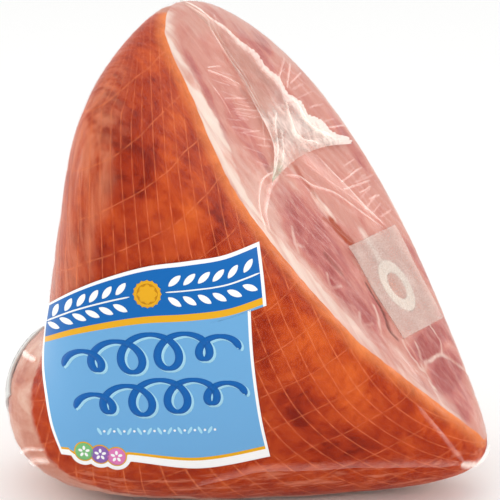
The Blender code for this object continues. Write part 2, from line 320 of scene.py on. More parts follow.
print("camera")
cameraData = bpy.data.cameras.new("camera")
camera = bpy.data.objects.new("camera", cameraData)
bpy.context.scene.collection.objects.link(camera)
cameraData.lens = cameraView["lens"]
cameraData.sensor_width = 36.0
back = Vector(direction(-90.0, cameraView["elevation"]))
camera.location = (Vector(cameraView["target"]) + back * cameraView["distance"]) * millimetre
camera.rotation_euler = (-back).to_track_quat("-Z", "Y").to_euler()
bpy.context.scene.camera = camera

studio = {
    "worldColour": "FFFFFF",
    "worldStrength": 1.0,
    "softboxes": (  # name, place in m, width and height in m, power in W
        ("softboxTop", (0.15, 0.25, 1.50), (1.3, 1.3), 2.2),
        ("softboxFront", (0.90, -1.30, 0.45), (0.9, 0.9), 2.2),
        ("stripLeft", (-1.20, 0.30, 0.35), (0.30, 0.90), 3.0),
    ),
    "aim": (0.0, 0.0, 0.11),
    "floorColour": "FAFAF9",
}

print("light and floor")
world = bpy.data.worlds.new("studioWorld")
world.use_nodes = True
world.node_tree.nodes["Background"].inputs["Color"].default_value = linear(studio["worldColour"])
world.node_tree.nodes["Background"].inputs["Strength"].default_value = studio["worldStrength"]
bpy.context.scene.world = world
bpy.context.scene.view_settings.view_transform = "Standard"
for boxName, place, sides, power in studio["softboxes"]:
    lampData = bpy.data.lights.new(boxName, "AREA")
    lampData.shape = "RECTANGLE"
    lampData.size, lampData.size_y = sides
    lampData.energy = power
    lamp = bpy.data.objects.new(boxName, lampData)
    lamp.location = place
    lamp.rotation_euler = (Vector(studio["aim"]) - Vector(place)).to_track_quat("-Z", "Y").to_euler()
    bpy.context.scene.collection.objects.link(lamp)

floorShape = bmesh.new()
bmesh.ops.create_grid(floorShape, x_segments=1, y_segments=1, size=5.0)
bmesh.ops.translate(floorShape, vec=(0.0, 0.0, -0.0005), verts=floorShape.verts)
floorMesh = bpy.data.meshes.new("floor")
floorShape.to_mesh(floorMesh)
floorShape.free()
floor = bpy.data.objects.new("floor", floorMesh)
bpy.context.scene.collection.objects.link(floor)
# Matt painted board, a pale even ground.
floorPaint, tree = newMaterial("mattPaintedBoard")
board = addNode(tree, "BsdfPrincipled", {
    "Base Color": linear(studio["floorColour"]), "Roughness": 0.85, "Specular IOR Level": 0.2})
addNode(tree, "OutputMaterial", {"Surface": board})
floorMesh.materials.append(floorPaint)


meatShell = {
    "segments": 400,
    "faceRings": 140,
    "sideRings": 100,
    "baseHeight": 0.25,
    "netLongSpacing": 8.4,     # between the net's long lines, where it is widest
    "netCrossSpacing": 23.0,   # between its cross lines
    "netCrossSlope": 0.52,
    "netDepth": 0.35,
    "undulation": 0.8,
    "bareMeatFolds": 1.3,
}

# Bare meat starts where this plane passes: the butt end's side, with no rind on it.
buttNormal = np.array((-0.181, 0.952, -0.246))
buttOffset = -37.8

# The sawn face: (across, up the slope) from its middle, half sizes, turn in degrees, strength.
leanAreas = (
    (-40.0, 2.0, 20.0, 34.0, 14.0, 0.70), (-44.0, -34.0, 12.0, 22.0, 20.0, 0.80),
    (-28.0, -40.0, 10.0, 16.0, 10.0, 0.60), (-54.5, 89.0, 5.0, 31.0, -21.0, 0.70),
    (27.0, 104.0, 7.0, 18.0, 15.0, 0.60), (-40.0, 48.0, 3.5, 7.0, -20.0, 1.00),
    (-46.0, -58.0, 8.0, 16.0, 24.0, 0.65), (12.0, 128.0, 6.0, 8.0, 0.0, 0.45),
    (-40.0, 66.0, 9.0, 20.0, -10.0, 0.45), (6.0, -76.0, 28.0, 8.0, 2.0, 1.00),
    (4.0, -94.0, 26.0, 10.0, 4.0, 1.00), (-4.0, -108.0, 17.0, 12.0, 10.0, 0.72),
    (42.0, 105.0, 8.0, 8.0, 20.0, 0.80), (64.0, 34.0, 6.0, 20.0, 0.0, 0.50),
    (60.0, -52.0, 8.0, 26.0, 10.0, 0.70),
    (40.0, -78.0, 10.0, 12.0, 0.0, 0.70), (-28.0, -96.0, 5.0, 18.0, 6.0, 0.55),
    (-14.0, 6.0, 9.0, 26.0, 8.0, 0.35), (24.0, 66.0, 12.0, 14.0, 0.0, 0.25),
)
fatLines = (  # points, half width, strength
    (((-19.1, -65.7), (-20.3, -73.8), (-20.2, -83.0), (-16.1, -86.2), (-18.3, -92.1), (-21.9, -102.4),
      (-22.4, -111.9)), 0.8, 0.75),
    (((-14.7, -85.4), (-9.3, -82.4), (-1.0, -83.4), (12.3, -85.4), (18.1, -89.9), (25.1, -96.6),
      (34.3, -104.2)), 0.9, 0.75),
    (((12.3, -85.4), (20.8, -78.9), (20.0, -71.7), (20.3, -68.6)), 0.7, 0.65),
    (((-7.8, -71.3), (-11.4, -78.0), (-16.8, -82.9)), 0.9, 0.75),
    (((-55.0, 13.0), (-61.0, 4.0), (-64.0, 1.0)), 1.0, 0.42), (((-61.0, 4.0), (-55.5, 1.5)), 0.9, 0.35),
    (((-50.5, -16.2), (-55.0, -21.5), (-58.0, -24.0)), 1.0, 0.42),
    (((-56.0, -22.0), (-44.0, -25.0)), 0.8, 0.35),
    (((-44.3, -41.3), (-50.5, -46.5), (-56.0, -50.0)), 1.0, 0.42),
    (((-51.3, -47.3), (-38.0, -49.3)), 0.8, 0.35),
    (((-12.4, 20.2), (-11.9, 14.0), (-9.4, 5.3)), 3.4, 1.0),
    (((13.9, -9.0), (13.6, -19.6), (12.8, -26.0)), 3.0, 0.70),
    (((-25.9, -42.9), (-29.4, -49.6), (-34.9, -55.7), (-37.4, -64.4), (-35.0, -74.9), (-37.3, -89.0),
      (-28.2, -104.9), (-15.9, -118.6)), 1.1, 0.55),
)
brownLines = (
    (((-11.7, 38.4), (-12.2, 28.8), (-11.4, 21.8)), 2.2, 0.55),
    (((-11.4, 4.0), (-9.9, -4.3), (-4.6, -11.4)), 3.3, 1.00),
    (((-17.0, 8.0), (-14.0, 3.0)), 1.5, 0.60),
)
# Dark lines on the face: the first two are dark seams in the meat; the last two are painted shade beside the
# folds of the film flap.
seamAndShadeLines = (
    (((-17.3, -32.2), (-18.5, -40.3), (-21.0, -51.1), (-25.0, -57.1), (-22.9, -63.2)), 1.2, 0.75),
    (((-36.2, -20.0), (-40.0, -8.0)), 1.6, 0.35),
    (((-14.5, 84.0), (-11.5, 74.0), (-6.3, 66.7)), 3.5, 0.22),
    (((4.3, 66.3), (-2.7, 58.5), (-9.9, 54.6)), 3.0, 0.35),
)
# Thickness of the white fat under the rind, and of the paler meat inside it, by height on the face.
fatByHeight = ((-134, 2.0), (-100, 3.0), (-80, 4.5), (-67, 7.0), (-56, 8.5), (-44, 9.0), (-26, 9.0),
               (-8, 9.5), (8, 8.0), (20, 6.5), (36, 7.0), (50, 10.0), (64, 13.0), (75, 12.8), (87, 11.5),
               (99, 9.7), (111, 7.0), (125, 5.4), (141, 3.0))
paleByHeight = ((-134, 4.0), (-95, 10.0), (-80, 16.0), (-62, 19.0), (-50, 15.0), (-20, 14.5), (5, 12.0),
                (15, 16.0), (25, 23.0), (42, 24.0), (57, 20.0), (70, 15.0), (100, 11.0), (141, 6.0))


# Where the rind ends on the face: across by height.
rindEdge = ((-134.0, 2.8), (-109.5, -18.4), (-84.1, -38.5), (-53.0, -61.5), (-16.6, -75.5), (7.4, -81.5),
            (21.2, -83.5), (38.6, -85.1), (52.9, -82.2), (65.8, -78.0), (80.2, -72.0), (88.7, -68.3),
            (97.2, -65.0), (105.3, -62.4), (113.3, -59.4), (121.5, -54.8), (128.5, -49.1), (135.0, -37.9),
            (138.1, -31.1), (140.9, -21.5), (143.2, -8.5), (147.0, 20.0))
# Darker and brighter parts of the rind, seen from the front: (x, z), half sizes, turn, strength.
deepAreas = (
    (-55.0, 190.0, 16.0, 16.0, 20.0, 0.85), (-46.0, 205.0, 6.0, 12.0, 8.0, 0.75),
    (-15.0, 150.0, 4.0, 17.0, -12.0, 1.00), (-72.0, 156.0, 9.0, 9.0, 0.0, 0.55),
    (-34.0, 140.0, 10.0, 8.0, 0.0, 0.35), (-64.0, 214.0, 9.0, 12.0, 30.0, 0.55),
    (-20.0, 176.0, 4.0, 8.0, -12.0, 0.55), (24.0, 60.0, 5.0, 5.0, 0.0, 0.70),
    (20.0, 84.0, 14.0, 14.0, 30.0, 0.45), (45.0, 40.0, 34.0, 12.0, -20.0, 0.50),
    (12.0, 100.0, 7.0, 14.0, 0.0, 0.45), (-95.0, 120.0, 12.0, 20.0, 0.0, 0.30))
brightAreas = (
    (-35.0, 200.0, 5.0, 26.0, -16.0, 0.75), (-24.0, 172.0, 5.0, 18.0, -22.0, 0.65),
    (28.0, 96.0, 14.0, 22.0, 38.0, 0.85), (44.0, 80.0, 12.0, 18.0, 44.0, 0.80),
    (10.0, 122.0, 6.0, 14.0, 35.0, 0.55), (-42.0, 232.0, 8.0, 9.0, -10.0, 0.60),
    (96.0, 44.0, 16.0, 5.0, -38.0, 0.60), (60.0, 62.0, 12.0, 9.0, 44.0, 0.45),
    (-60.0, 172.0, 7.0, 7.0, 0.0, 0.30))
# Where the film's reflection is painted onto the rind, down its left side: (x, z), half sizes, turn, strength.
paintedReflectionAreas = ((-82.0, 170.0, 15.0, 68.0, -15.0, 0.9), (-104.0, 108.0, 14.0, 26.0, -10.0, 0.7))


def areaField(areas, across, up):
    field = np.zeros(len(across))
    for areaAcross, areaUp, halfAcross, halfUp, turn, strength in areas:
        cosine, sine = math.cos(math.radians(turn)), math.sin(math.radians(turn))
        along = (cosine * (across - areaAcross) + sine * (up - areaUp)) / halfAcross
        rise = (cosine * (up - areaUp) - sine * (across - areaAcross)) / halfUp
        inside = strength * smoothStep(1.35, 0.65, np.hypot(along, rise))
        field = np.maximum(field, inside)
    return field


def lineField(lines, across, up):
    field = np.zeros(len(across))
    place = np.stack((across, up), 1)
    for points, halfWidth, strength in lines:
        route = through(points, np.linspace(0.0, 1.0, 5 * len(points)))
        nearest = np.full(len(across), 1e9)
        for start, end in zip(route[:-1], route[1:]):
            run = end - start
            share = np.clip(((place - start) @ run) / (run @ run + 1e-9), 0.0, 1.0)
            nearest = np.minimum(nearest, np.linalg.norm(place - start - share[:, None] * run, axis=1))
        field = np.maximum(field, strength * smoothStep(1.5 * halfWidth, 0.5 * halfWidth, nearest))
    return field


def netPlace(points):
    # The net's two line counts. Its long lines hang down the thin end and fan out over the thick one;
    # its cross lines climb to the right.
    x, y, z = points.T
    wrapped = x - 0.7 * np.maximum(0.0, y + 85.0) * np.clip((-50.0 - x) / 30.0, 0.0, 1.0)
    low = np.maximum(0.0, 80.0 - z)
    fanned = (wrapped + 67.0) * np.exp((z - 80.0) / 210.0 - low ** 2 / 16800.0)
    climbed = z - meatShell["netCrossSlope"] * x
    return fanned / meatShell["netLongSpacing"], climbed / meatShell["netCrossSpacing"]


def faceZone(points):
    # How far inside the sawn face's painted border a point is: the rind ends a little over its rim.
    across, up = faceCoordinates(points)
    below = hamForm["cutDistance"] - (points - bodyCentre) @ cutNormal
    inside = 0.85 * (across - np.interp(up, *zip(*rindEdge)))
    room = np.interp(up, (88.0, 105.0, 128.0, 145.0), (3.0, 5.0, 8.0, 20.0))
    return np.minimum(inside, 10.0 * (room - below))


def slowSwell(points):
    # The skin's slow undulation, shared by the meat and the film on it.
    return meatShell["undulation"] * noiseAt(points, 34.0, 3.0)


def boneSection(radius, sides):
    turn = np.linspace(0.0, 2.0 * math.pi, sides, endpoint=False)
    swell = 1.0 + 0.06 * np.cos(turn - 0.6) ** 3 + 0.02 * np.cos(2.0 * turn)
    return radius * swell * np.cos(turn), radius * swell * np.sin(turn)


print("meat")
shape, places, onCut = skinShell(meatShell["segments"], meatShell["faceRings"], meatShell["sideRings"])
away = outward(places)
across, up = faceCoordinates(places)
butt = places @ buttNormal - buttOffset
bare = smoothStep(-3.0, 5.0, butt + 3.0 * noiseAt(places, 14.0, 5.0))
lines = np.zeros(len(places))
for count in netPlace(places):
    lines = np.maximum(lines, np.exp(-((np.abs(count - np.rint(count))) / 0.14) ** 2))
rindRelief = -meatShell["netDepth"] * lines
bareRelief = -meatShell["bareMeatFolds"] * np.abs(noiseAt(places * (1.0, 1.0, 2.2), 16.0, 9.0))
faceRelief = (-0.5 * lineField(fatLines[:4] + seamAndShadeLines, across, up)
              - 0.35 * np.abs(noiseAt(places, 7.0, 2.0)))
faced = smoothStep(-1.0, 1.0, faceZone(places))
relief = faceRelief * faced + (1.0 - faced) * (rindRelief * (1.0 - bare) + bareRelief * bare)
edge = smoothStep(0.0, 6.0, np.where(onCut, 6.0, hamForm["cutDistance"] - (places - bodyCentre) @ cutNormal))
places = places + away * (relief + edge * slowSwell(places) * (~onCut) - 0.1)[:, None]
places[:, 2] = np.maximum(places[:, 2], meatShell["baseHeight"])
moveTo(shape.verts, places)
hamMesh = bpy.data.meshes.new("hamMeat")
shape.to_mesh(hamMesh)
shape.free()

# The bone's bore, cut with the same section that the CAD has.
boneSize = {"place": (11.6, -42.2), "radius": 15.6, "depth": 75.3, "above": 4.0, "sides": 96}
cutter = bmesh.new()
bmesh.ops.create_circle(cutter, segments=boneSize["sides"], radius=1.0, cap_ends=True)
ringAcross, ringUp = boneSection(boneSize["radius"], boneSize["sides"])
order = sorted(cutter.verts, key=lambda vert: math.atan2(vert.co.y, vert.co.x) % (2.0 * math.pi - 1e-6))
moveTo(order, onFace(boneSize["place"][0] + ringAcross, boneSize["place"][1] + ringUp,
                     np.full(boneSize["sides"], boneSize["above"])))
wall = bmesh.ops.extrude_face_region(cutter, geom=cutter.faces[:])["geom"]
drop = Vector(-cutNormal) * (boneSize["depth"] + boneSize["above"]) * millimetre
bmesh.ops.translate(cutter, vec=drop, verts=[part for part in wall if isinstance(part, bmesh.types.BMVert)])
bmesh.ops.recalc_face_normals(cutter, faces=cutter.faces)
cutterMesh = bpy.data.meshes.new("boneBore")
cutter.to_mesh(cutterMesh)
cutter.free()
cutterPiece = bpy.data.objects.new("boneBore", cutterMesh)
bpy.context.scene.collection.objects.link(cutterPiece)
hamMeat = bpy.data.objects.new("hamMeat", hamMesh)
bpy.context.scene.collection.objects.link(hamMeat)
bore = hamMeat.modifiers.new("bore", "BOOLEAN")
bore.operation = "DIFFERENCE"
bore.solver = "EXACT"
bore.object = cutterPiece
bpy.context.view_layer.update()
boredMesh = bpy.data.meshes.new_from_object(hamMeat.evaluated_get(bpy.context.evaluated_depsgraph_get()))
hamMeat.modifiers.clear()
hamMeat.data = boredMesh
boredMesh.name = "hamMeatBored"
bpy.data.objects.remove(cutterPiece)
boredMesh.shade_smooth()

meatPoints = pointsOf(boredMesh)
across, up = faceCoordinates(meatPoints)
edgeIn = faceZone(meatPoints)
rimIn = rimAt(meatPoints)
wobble = 1.6 * noiseAt(meatPoints, 9.0, 21.0) + 0.7 * noiseAt(meatPoints, 3.5, 22.0)
across, up = across + wobble, up + 1.4 * noiseAt(meatPoints, 8.0, 25.0)
nearSide = smoothStep(-4.0, -14.0, across + 0.12 * np.maximum(up, 0.0))
grain = noiseAt(meatPoints, 5.0, 31.0)
fatDepth = np.interp(up, *zip(*fatByHeight)) * (1.0 + 0.18 * grain)
paleDepth = np.interp(up, *zip(*paleByHeight)) * (1.0 + 0.15 * grain)
fat = nearSide * smoothStep(1.5, -1.0, edgeIn - fatDepth) * np.interp(up, (-60.0, 5.0), (0.62, 1.0))
fat = np.maximum(fat, nearSide * 0.38 * smoothStep(4.0, -3.0, edgeIn - paleDepth))
fat = np.maximum(fat, (1.0 - nearSide) * 0.25 * smoothStep(3.2, 0.6, rimIn))
fat = np.maximum(fat, lineField(fatLines, across, up))
lean = areaField(leanAreas, across, up) * (1.0 + 0.35 * grain)
brown = lineField(brownLines, across, up)
seamAndShade = lineField(seamAndShadeLines, across, up)
setAttribute(boredMesh, "fat", fat)
setAttribute(boredMesh, "lean", np.clip(lean, 0.0, 1.0))
setAttribute(boredMesh, "brown", brown)
# gap holds the dark seams and the painted shade beside the flap's folds.
setAttribute(boredMesh, "gap", seamAndShade)
ragged = 0.5 * noiseAt(meatPoints, 6.0, 61.0) + 0.25 * noiseAt(meatPoints, 2.5, 62.0)
setAttribute(boredMesh, "inFace", faceZone(meatPoints) + ragged)
sway = 0.07 * noiseAt(meatPoints, 22.0, 63.0)
longCount, crossCount = netPlace(meatPoints)
setAttribute(boredMesh, "netLong", longCount + sway)
setAttribute(boredMesh, "netCross", crossCount + sway)
swirl = 5.0 * noiseAt(meatPoints, 17.0, 64.0) + 2.5 * noiseAt(meatPoints, 6.0, 65.0)
swirled, height = meatPoints[:, 0] + swirl, meatPoints[:, 2]
frontSide = smoothStep(-10.0, -30.0, meatPoints[:, 1])
setAttribute(boredMesh, "deep", frontSide * areaField(deepAreas, swirled, height - swirl))
setAttribute(boredMesh, "bright", frontSide * areaField(brightAreas, swirled, height + swirl))
setAttribute(boredMesh, "paintedFilmReflection", areaField(paintedReflectionAreas, swirled, height))

turned = Matrix((faceAcross, faceUp, cutNormal))
faceShift = [-float(value) * millimetre for value in (faceOrigin @ faceAcross, faceOrigin @ faceUp,
                                                      faceOrigin @ cutNormal)]


def faceFrame(tree):
    # Object coordinates turned so that X runs across the sawn face, Y up it and Z out of it.
    place = addNode(tree, "TexCoord")
    return addNode(tree, "Mapping", {
        "Vector": place.outputs["Object"], "Location": faceShift, "Rotation": turned.to_euler()})


# Cooked, smoked leg ham. The sawn face is moist: pale fat, pink to rose lean, fibres a millimetre or so
# apart. The rind is orange-red, mottled, with the paler marks that the net left in the smokehouse. Past
# the butt plane the rind ends and bare meat and fat show.
smokedHam, tree = newMaterial("smokedLegHam")
turnedPlace = faceFrame(tree)
read = {name: addNode(tree, "Attribute", attribute_name=name).outputs["Fac"]
        for name in ("fat", "lean", "brown", "gap", "inFace", "netLong", "netCross", "deep", "bright", "paintedFilmReflection")}

slantedPlace = addNode(tree, "Mapping", {
    "Vector": turnedPlace, "Rotation": (0.0, 0.0, math.radians(24.0)), "Scale": (1.0, 0.22, 1.0)})
fibre = addNode(tree, "TexNoise", {"Vector": slantedPlace, "Scale": 700.0, "Detail": 4.0, "Roughness": 0.6})
mottle = addNode(tree, "TexNoise", {"Vector": turnedPlace, "Scale": 70.0, "Detail": 6.0, "Roughness": 0.62})
streak = addNode(tree, "TexNoise", {
    "Vector": slantedPlace, "Scale": 130.0, "Detail": 3.0, "Roughness": 0.5, "Distortion": 0.6})
leanMore = addNode(tree, "MapRange", {0: mottle, 1: 0.35, 2: 0.7, 3: -0.18, 4: 0.30})
leanSum = addNode(tree, "Math", {0: read["lean"], 1: leanMore}, operation="ADD", use_clamp=True)
leanColour = addNode(tree, "ValToRGB", {"Fac": leanSum}, stops=(
    (0.0, linear("CE8C7E")), (0.30, linear("C6786C")), (0.62, linear("BA6660")), (1.0, linear("A44846"))))
fatColour = addNode(tree, "ValToRGB", {"Fac": streak}, stops=(
    (0.34, linear("D8A090")), (0.58, linear("EFD6C8"))))
streakMask = addNode(tree, "MapRange", {0: streak, 1: 0.56, 2: 0.74, 3: 0.0, 4: 0.36})
fibreMask = addNode(tree, "MapRange", {0: fibre, 1: 0.45, 2: 0.75, 3: 0.0, 4: 0.32})
sawn = leanColour
# The darkest colour, read from gap, paints both the dark seams and the shade beside the flap's folds.
for share, over in ((streakMask, linear("DFA594")), (fibreMask, linear("E0A896")), (read["fat"], fatColour),
                    (read["brown"], linear("A83E16")), (read["gap"], linear("66200F"))):
    sawn = addNode(tree, "Mix", {0: share, 6: sawn, 7: over}, data_type="RGBA")

longNear = addNode(tree, "Math", {0: read["netLong"], 1: 0.5}, operation="PINGPONG")
crossNear = addNode(tree, "Math", {0: read["netCross"], 1: 0.5}, operation="PINGPONG")
longLine = addNode(tree, "MapRange", {0: longNear, 1: 0.012, 2: 0.06, 3: 1.0, 4: 0.0})
crossLine = addNode(tree, "MapRange", {0: crossNear, 1: 0.004, 2: 0.024, 3: 0.8, 4: 0.0})
netLine = addNode(tree, "Math", {0: longLine, 1: crossLine}, operation="MAXIMUM")
broken = addNode(tree, "TexNoise", {"Vector": turnedPlace, "Scale": 220.0, "Detail": 5.0, "Roughness": 0.7})
brokenShare = addNode(tree, "MapRange", {0: broken, 1: 0.36, 2: 0.64, 3: 0.12, 4: 1.0})
netShare = addNode(tree, "Math", {0: netLine, 1: brokenShare}, operation="MULTIPLY")
patches = addNode(tree, "TexNoise", {
    "Vector": turnedPlace, "Scale": 38.0, "Detail": 9.0, "Roughness": 0.74, "Distortion": 0.6})
spots = addNode(tree, "TexNoise", {"Vector": turnedPlace, "Scale": 210.0, "Detail": 7.0, "Roughness": 0.74})
mixedPatches = addNode(tree, "Mix", {0: 0.46, 2: patches, 3: spots})
brighter = addNode(tree, "Math", {0: read["bright"], 1: 0.12, 2: mixedPatches}, operation="MULTIPLY_ADD")
toned = addNode(tree, "Math", {0: read["deep"], 1: -0.13, 2: brighter}, operation="MULTIPLY_ADD")
rindColour = addNode(tree, "ValToRGB", {"Fac": toned}, stops=(
    (0.35, linear("7E2012")), (0.43, linear("9E3016")), (0.50, linear("B23E1A")), (0.57, linear("C44E20")),
    (0.67, linear("D86228"))))
spotShare = addNode(tree, "MapRange", {0: spots, 1: 0.56, 2: 0.70, 3: 0.0, 4: 0.45})
# Down its left side the rind carries a painted reflection of the film: a duller salmon, in steep streaks.
plainPlace = addNode(tree, "TexCoord").outputs["Object"]
reflectionStreakPlace = addNode(tree, "Mapping", {
    "Vector": plainPlace, "Rotation": (0.0, math.radians(-14.0), 0.0), "Scale": (1.0, 1.0, 0.10)})
reflectionStreakNoise = addNode(tree, "TexNoise", {"Vector": reflectionStreakPlace, "Scale": 150.0, "Detail": 4.0, "Roughness": 0.6})
reflectionStreakMask = addNode(tree, "MapRange", {0: reflectionStreakNoise, 1: 0.38, 2: 0.62, 3: 0.15, 4: 0.9})
paintedReflectionShare = addNode(tree, "Math", {0: reflectionStreakMask, 1: read["paintedFilmReflection"]}, operation="MULTIPLY")
# The last millimetres before the face are lit through the fat behind them.
rimNear = addNode(tree, "MapRange", {0: read["inFace"], 1: -11.0, 2: -1.0, 3: 0.0, 4: 1.35})
rimShare = addNode(tree, "Math", {0: rimNear, 1: patches}, operation="MULTIPLY")
# Underneath, the net has left short pale streaks on the slant.
lowPlace = addNode(tree, "Mapping", {
    "Vector": plainPlace, "Rotation": (0.0, math.radians(-40.0), 0.0), "Scale": (0.16, 1.0, 1.0)})
lowStreaks = addNode(tree, "TexNoise", {"Vector": lowPlace, "Scale": 230.0, "Detail": 4.0, "Roughness": 0.6})
lowStreak = addNode(tree, "MapRange", {0: lowStreaks, 1: 0.52, 2: 0.66, 3: 0.0, 4: 0.7})
plainParts = addNode(tree, "SeparateXYZ", {0: plainPlace})
lowZone = addNode(tree, "MapRange", {0: plainParts.outputs["Z"], 1: 0.032, 2: 0.022, 3: 0.0, 4: 1.0})
lowShare = addNode(tree, "Math", {0: lowStreak, 1: lowZone}, operation="MULTIPLY")
# Past the butt plane, its edge made ragged, lies the bare meat.
buttDot = addNode(tree, "VectorMath", {0: plainPlace, 1: list(map(float, buttNormal))}, operation="DOT_PRODUCT")
buttRagged = addNode(tree, "Math", {0: patches, 1: 0.012, 2: buttDot}, operation="MULTIPLY_ADD")
buttStart, buttEnd = (buttOffset + 5.0) * millimetre, (buttOffset + 8.5) * millimetre
buttShare = addNode(tree, "MapRange", {0: buttRagged, 1: buttStart, 2: buttEnd, 3: 0.0, 4: 1.0})
stretched = addNode(tree, "Mapping", {"Vector": plainPlace, "Scale": (1.0, 1.0, 3.0)})
bareNoise = addNode(tree, "TexNoise", {
    "Vector": stretched, "Scale": 26.0, "Detail": 8.0, "Roughness": 0.62, "Distortion": 0.5})
bareColour = addNode(tree, "ValToRGB", {"Fac": bareNoise}, stops=(
    (0.30, linear("B06A5C")), (0.42, linear("C6846F")), (0.55, linear("D29C88")), (0.72, linear("E2BCA8"))))
faceShare = addNode(tree, "MapRange", {0: read["inFace"], 1: -0.25, 2: 0.25, 3: 0.0, 4: 1.0})
dressed = rindColour
for share, over in ((spotShare, linear("7A1C10")), (paintedReflectionShare, linear("D67F5E")), (rimShare, linear("F69250")),
                    (netShare, linear("DC7648")), (lowShare, linear("DE8A6A")), (buttShare, bareColour),
                    (faceShare, sawn)):
    dressed = addNode(tree, "Mix", {0: share, 6: dressed, 7: over}, data_type="RGBA")
skinHeight = addNode(tree, "Math", {0: netShare, 1: -0.6, 2: fibre}, operation="MULTIPLY_ADD")
hamBump = addNode(tree, "Bump", {"Height": skinHeight, "Strength": 0.25, "Distance": 0.0006})
hamShader = addNode(tree, "BsdfPrincipled", {
    "Base Color": dressed, "Normal": hamBump, "Roughness": 0.5, "IOR": 1.38,
    "Specular IOR Level": 0.06, "Subsurface Weight": 0.08, "Subsurface Radius": (0.004, 0.0016, 0.0009),
    "Subsurface Scale": 1.0})
addNode(tree, "OutputMaterial", {"Surface": hamShader})

boredMesh.materials.append(smokedHam)
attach(hamMeat, "root")
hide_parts("ham")
print("  meat faces", len(boredMesh.polygons))


# Sawn long bone: dense cream rim, fine pores; in it the marrow, soft and pink-brown.
boneFinishes = {
    "femur": {"material": "sawnBone", "poreScale": 650.0, "detail": 5.0, "roughness": 0.55,
              "colours": ((0.32, linear("F2D4BE")), (0.60, linear("FFF0E0"))), "bump": 0.3, "poreDepth": 0.4},
    "marrow": {"material": "softMarrow", "poreScale": 320.0, "detail": 6.0, "roughness": 0.45,
               "colours": ((0.35, linear("C05A40")), (0.65, linear("E08A6A"))), "bump": 0.5, "poreDepth": 0.6},
}
for nodeName, finish in boneFinishes.items():
    boneMaterial, tree = newMaterial(finish["material"])
    pores = addNode(tree, "TexNoise", {
        "Vector": faceFrame(tree), "Scale": finish["poreScale"], "Detail": finish["detail"], "Roughness": 0.7})
    boneColour = addNode(tree, "ValToRGB", {"Fac": pores}, stops=finish["colours"])
    boneBump = addNode(tree, "Bump", {
        "Height": pores, "Strength": finish["bump"], "Distance": finish["poreDepth"] * millimetre})
    boneShader = addNode(tree, "BsdfPrincipled", {
        "Base Color": boneColour, "Normal": boneBump, "Roughness": finish["roughness"]})
    addNode(tree, "OutputMaterial", {"Surface": boneShader})
    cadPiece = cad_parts[nodeName]
    cadPiece.data.materials.clear()
    cadPiece.data.materials.append(boneMaterial)


# Shrink film, a few hundredths of a millimetre of clear polyolefin: it hardly colours what is under it,
# mirrors the softboxes, and clouds white where it is creased or gathered.
shrinkFilmClear, tree = newMaterial("clearShrinkFilm")
filmPlace = addNode(tree, "TexCoord").outputs["Object"]
stretchedPlace = addNode(tree, "Mapping", {
    "Vector": filmPlace, "Rotation": (0.0, math.radians(10.0), 0.0), "Scale": (1.0, 1.0, 0.14)})
ripples = addNode(tree, "TexNoise", {
    "Vector": stretchedPlace, "Scale": 260.0, "Detail": 3.0, "Roughness": 0.55, "Distortion": 0.5})
slack = addNode(tree, "TexNoise", {"Vector": stretchedPlace, "Scale": 60.0, "Detail": 2.0, "Roughness": 0.5})
filmHeight = addNode(tree, "Math", {0: slack, 1: 2.0, 2: ripples}, operation="MULTIPLY_ADD")
filmBump = addNode(tree, "Bump", {"Height": filmHeight, "Strength": 0.35, "Distance": 0.0012})
milkRead = addNode(tree, "Attribute", attribute_name="milk").outputs["Fac"]
milkNoise = addNode(tree, "MapRange", {0: ripples, 1: 0.3, 2: 0.7, 3: 0.65, 4: 1.25})
milkShare = addNode(tree, "Math", {0: milkRead, 1: milkNoise}, operation="MULTIPLY", use_clamp=True)
clear = addNode(tree, "BsdfTransparent", {"Color": linear("FFFFFF")})
gloss = addNode(tree, "BsdfGlossy", {"Color": linear("FFFFFF"), "Roughness": 0.14, "Normal": filmBump})
# Schlick's curve of a thin film's mirror share, the same from its two sides.
facing = addNode(tree, "LayerWeight", {"Blend": 0.5, "Normal": filmBump})
grazing = addNode(tree, "Math", {0: facing.outputs["Facing"], 1: 5.0}, operation="POWER")
mirrorShare = addNode(tree, "MapRange", {0: grazing, 1: 0.0, 2: 1.0, 3: 0.005, 4: 0.42})
clearFilm = addNode(tree, "MixShader", {0: mirrorShare, 1: clear, 2: gloss})
# A little cloud only adds scattered light, since what it scatters forwards still lights the meat; a thick
# one also hides what is under it. The flap's foot is tinted green-grey.
tintRead = addNode(tree, "Attribute", attribute_name="tint").outputs["Fac"]
cloudColour = addNode(tree, "Mix", {0: tintRead, 6: linear("FFF0E6"), 7: linear("A9BBA2")}, data_type="RGBA")
veilShare = addNode(tree, "Math", {0: milkShare, 1: 0.5}, operation="MULTIPLY")
veilColour = addNode(tree, "VectorMath", {0: cloudColour, "Scale": veilShare}, operation="SCALE")
veil = addNode(tree, "BsdfDiffuse", {"Color": veilColour, "Normal": filmBump})
veiled = addNode(tree, "AddShader", {0: clearFilm, 1: veil})
cloudy = addNode(tree, "BsdfPrincipled", {
    "Base Color": cloudColour, "Roughness": 0.4, "IOR": 1.48, "Specular IOR Level": 0.3, "Normal": filmBump})
thickShare = addNode(tree, "MapRange", {0: milkShare, 1: 0.30, 2: 1.0, 3: 0.0, 4: 0.85})
filmMix = addNode(tree, "MixShader", {0: thickShare, 1: veiled, 2: cloudy})
addNode(tree, "OutputMaterial", {"Surface": filmMix})


def underside(name, hexColour):
    # The lower wall of a see-through piece: its cloudiness is all given to the upper side.
    material, tree = newMaterial(name)
    addNode(tree, "OutputMaterial", {"Surface": addNode(tree, "BsdfTransparent", {"Color": linear(hexColour)})})
    return material


filmShell = {
    "segments": 300,
    "faceRings": 80,
    "sideRings": 100,
    "lift": 0.40,
    "faceWrinkle": 0.5,
    "faceMilk": 0.03,
    "ridgeMilk": 0.14,
}

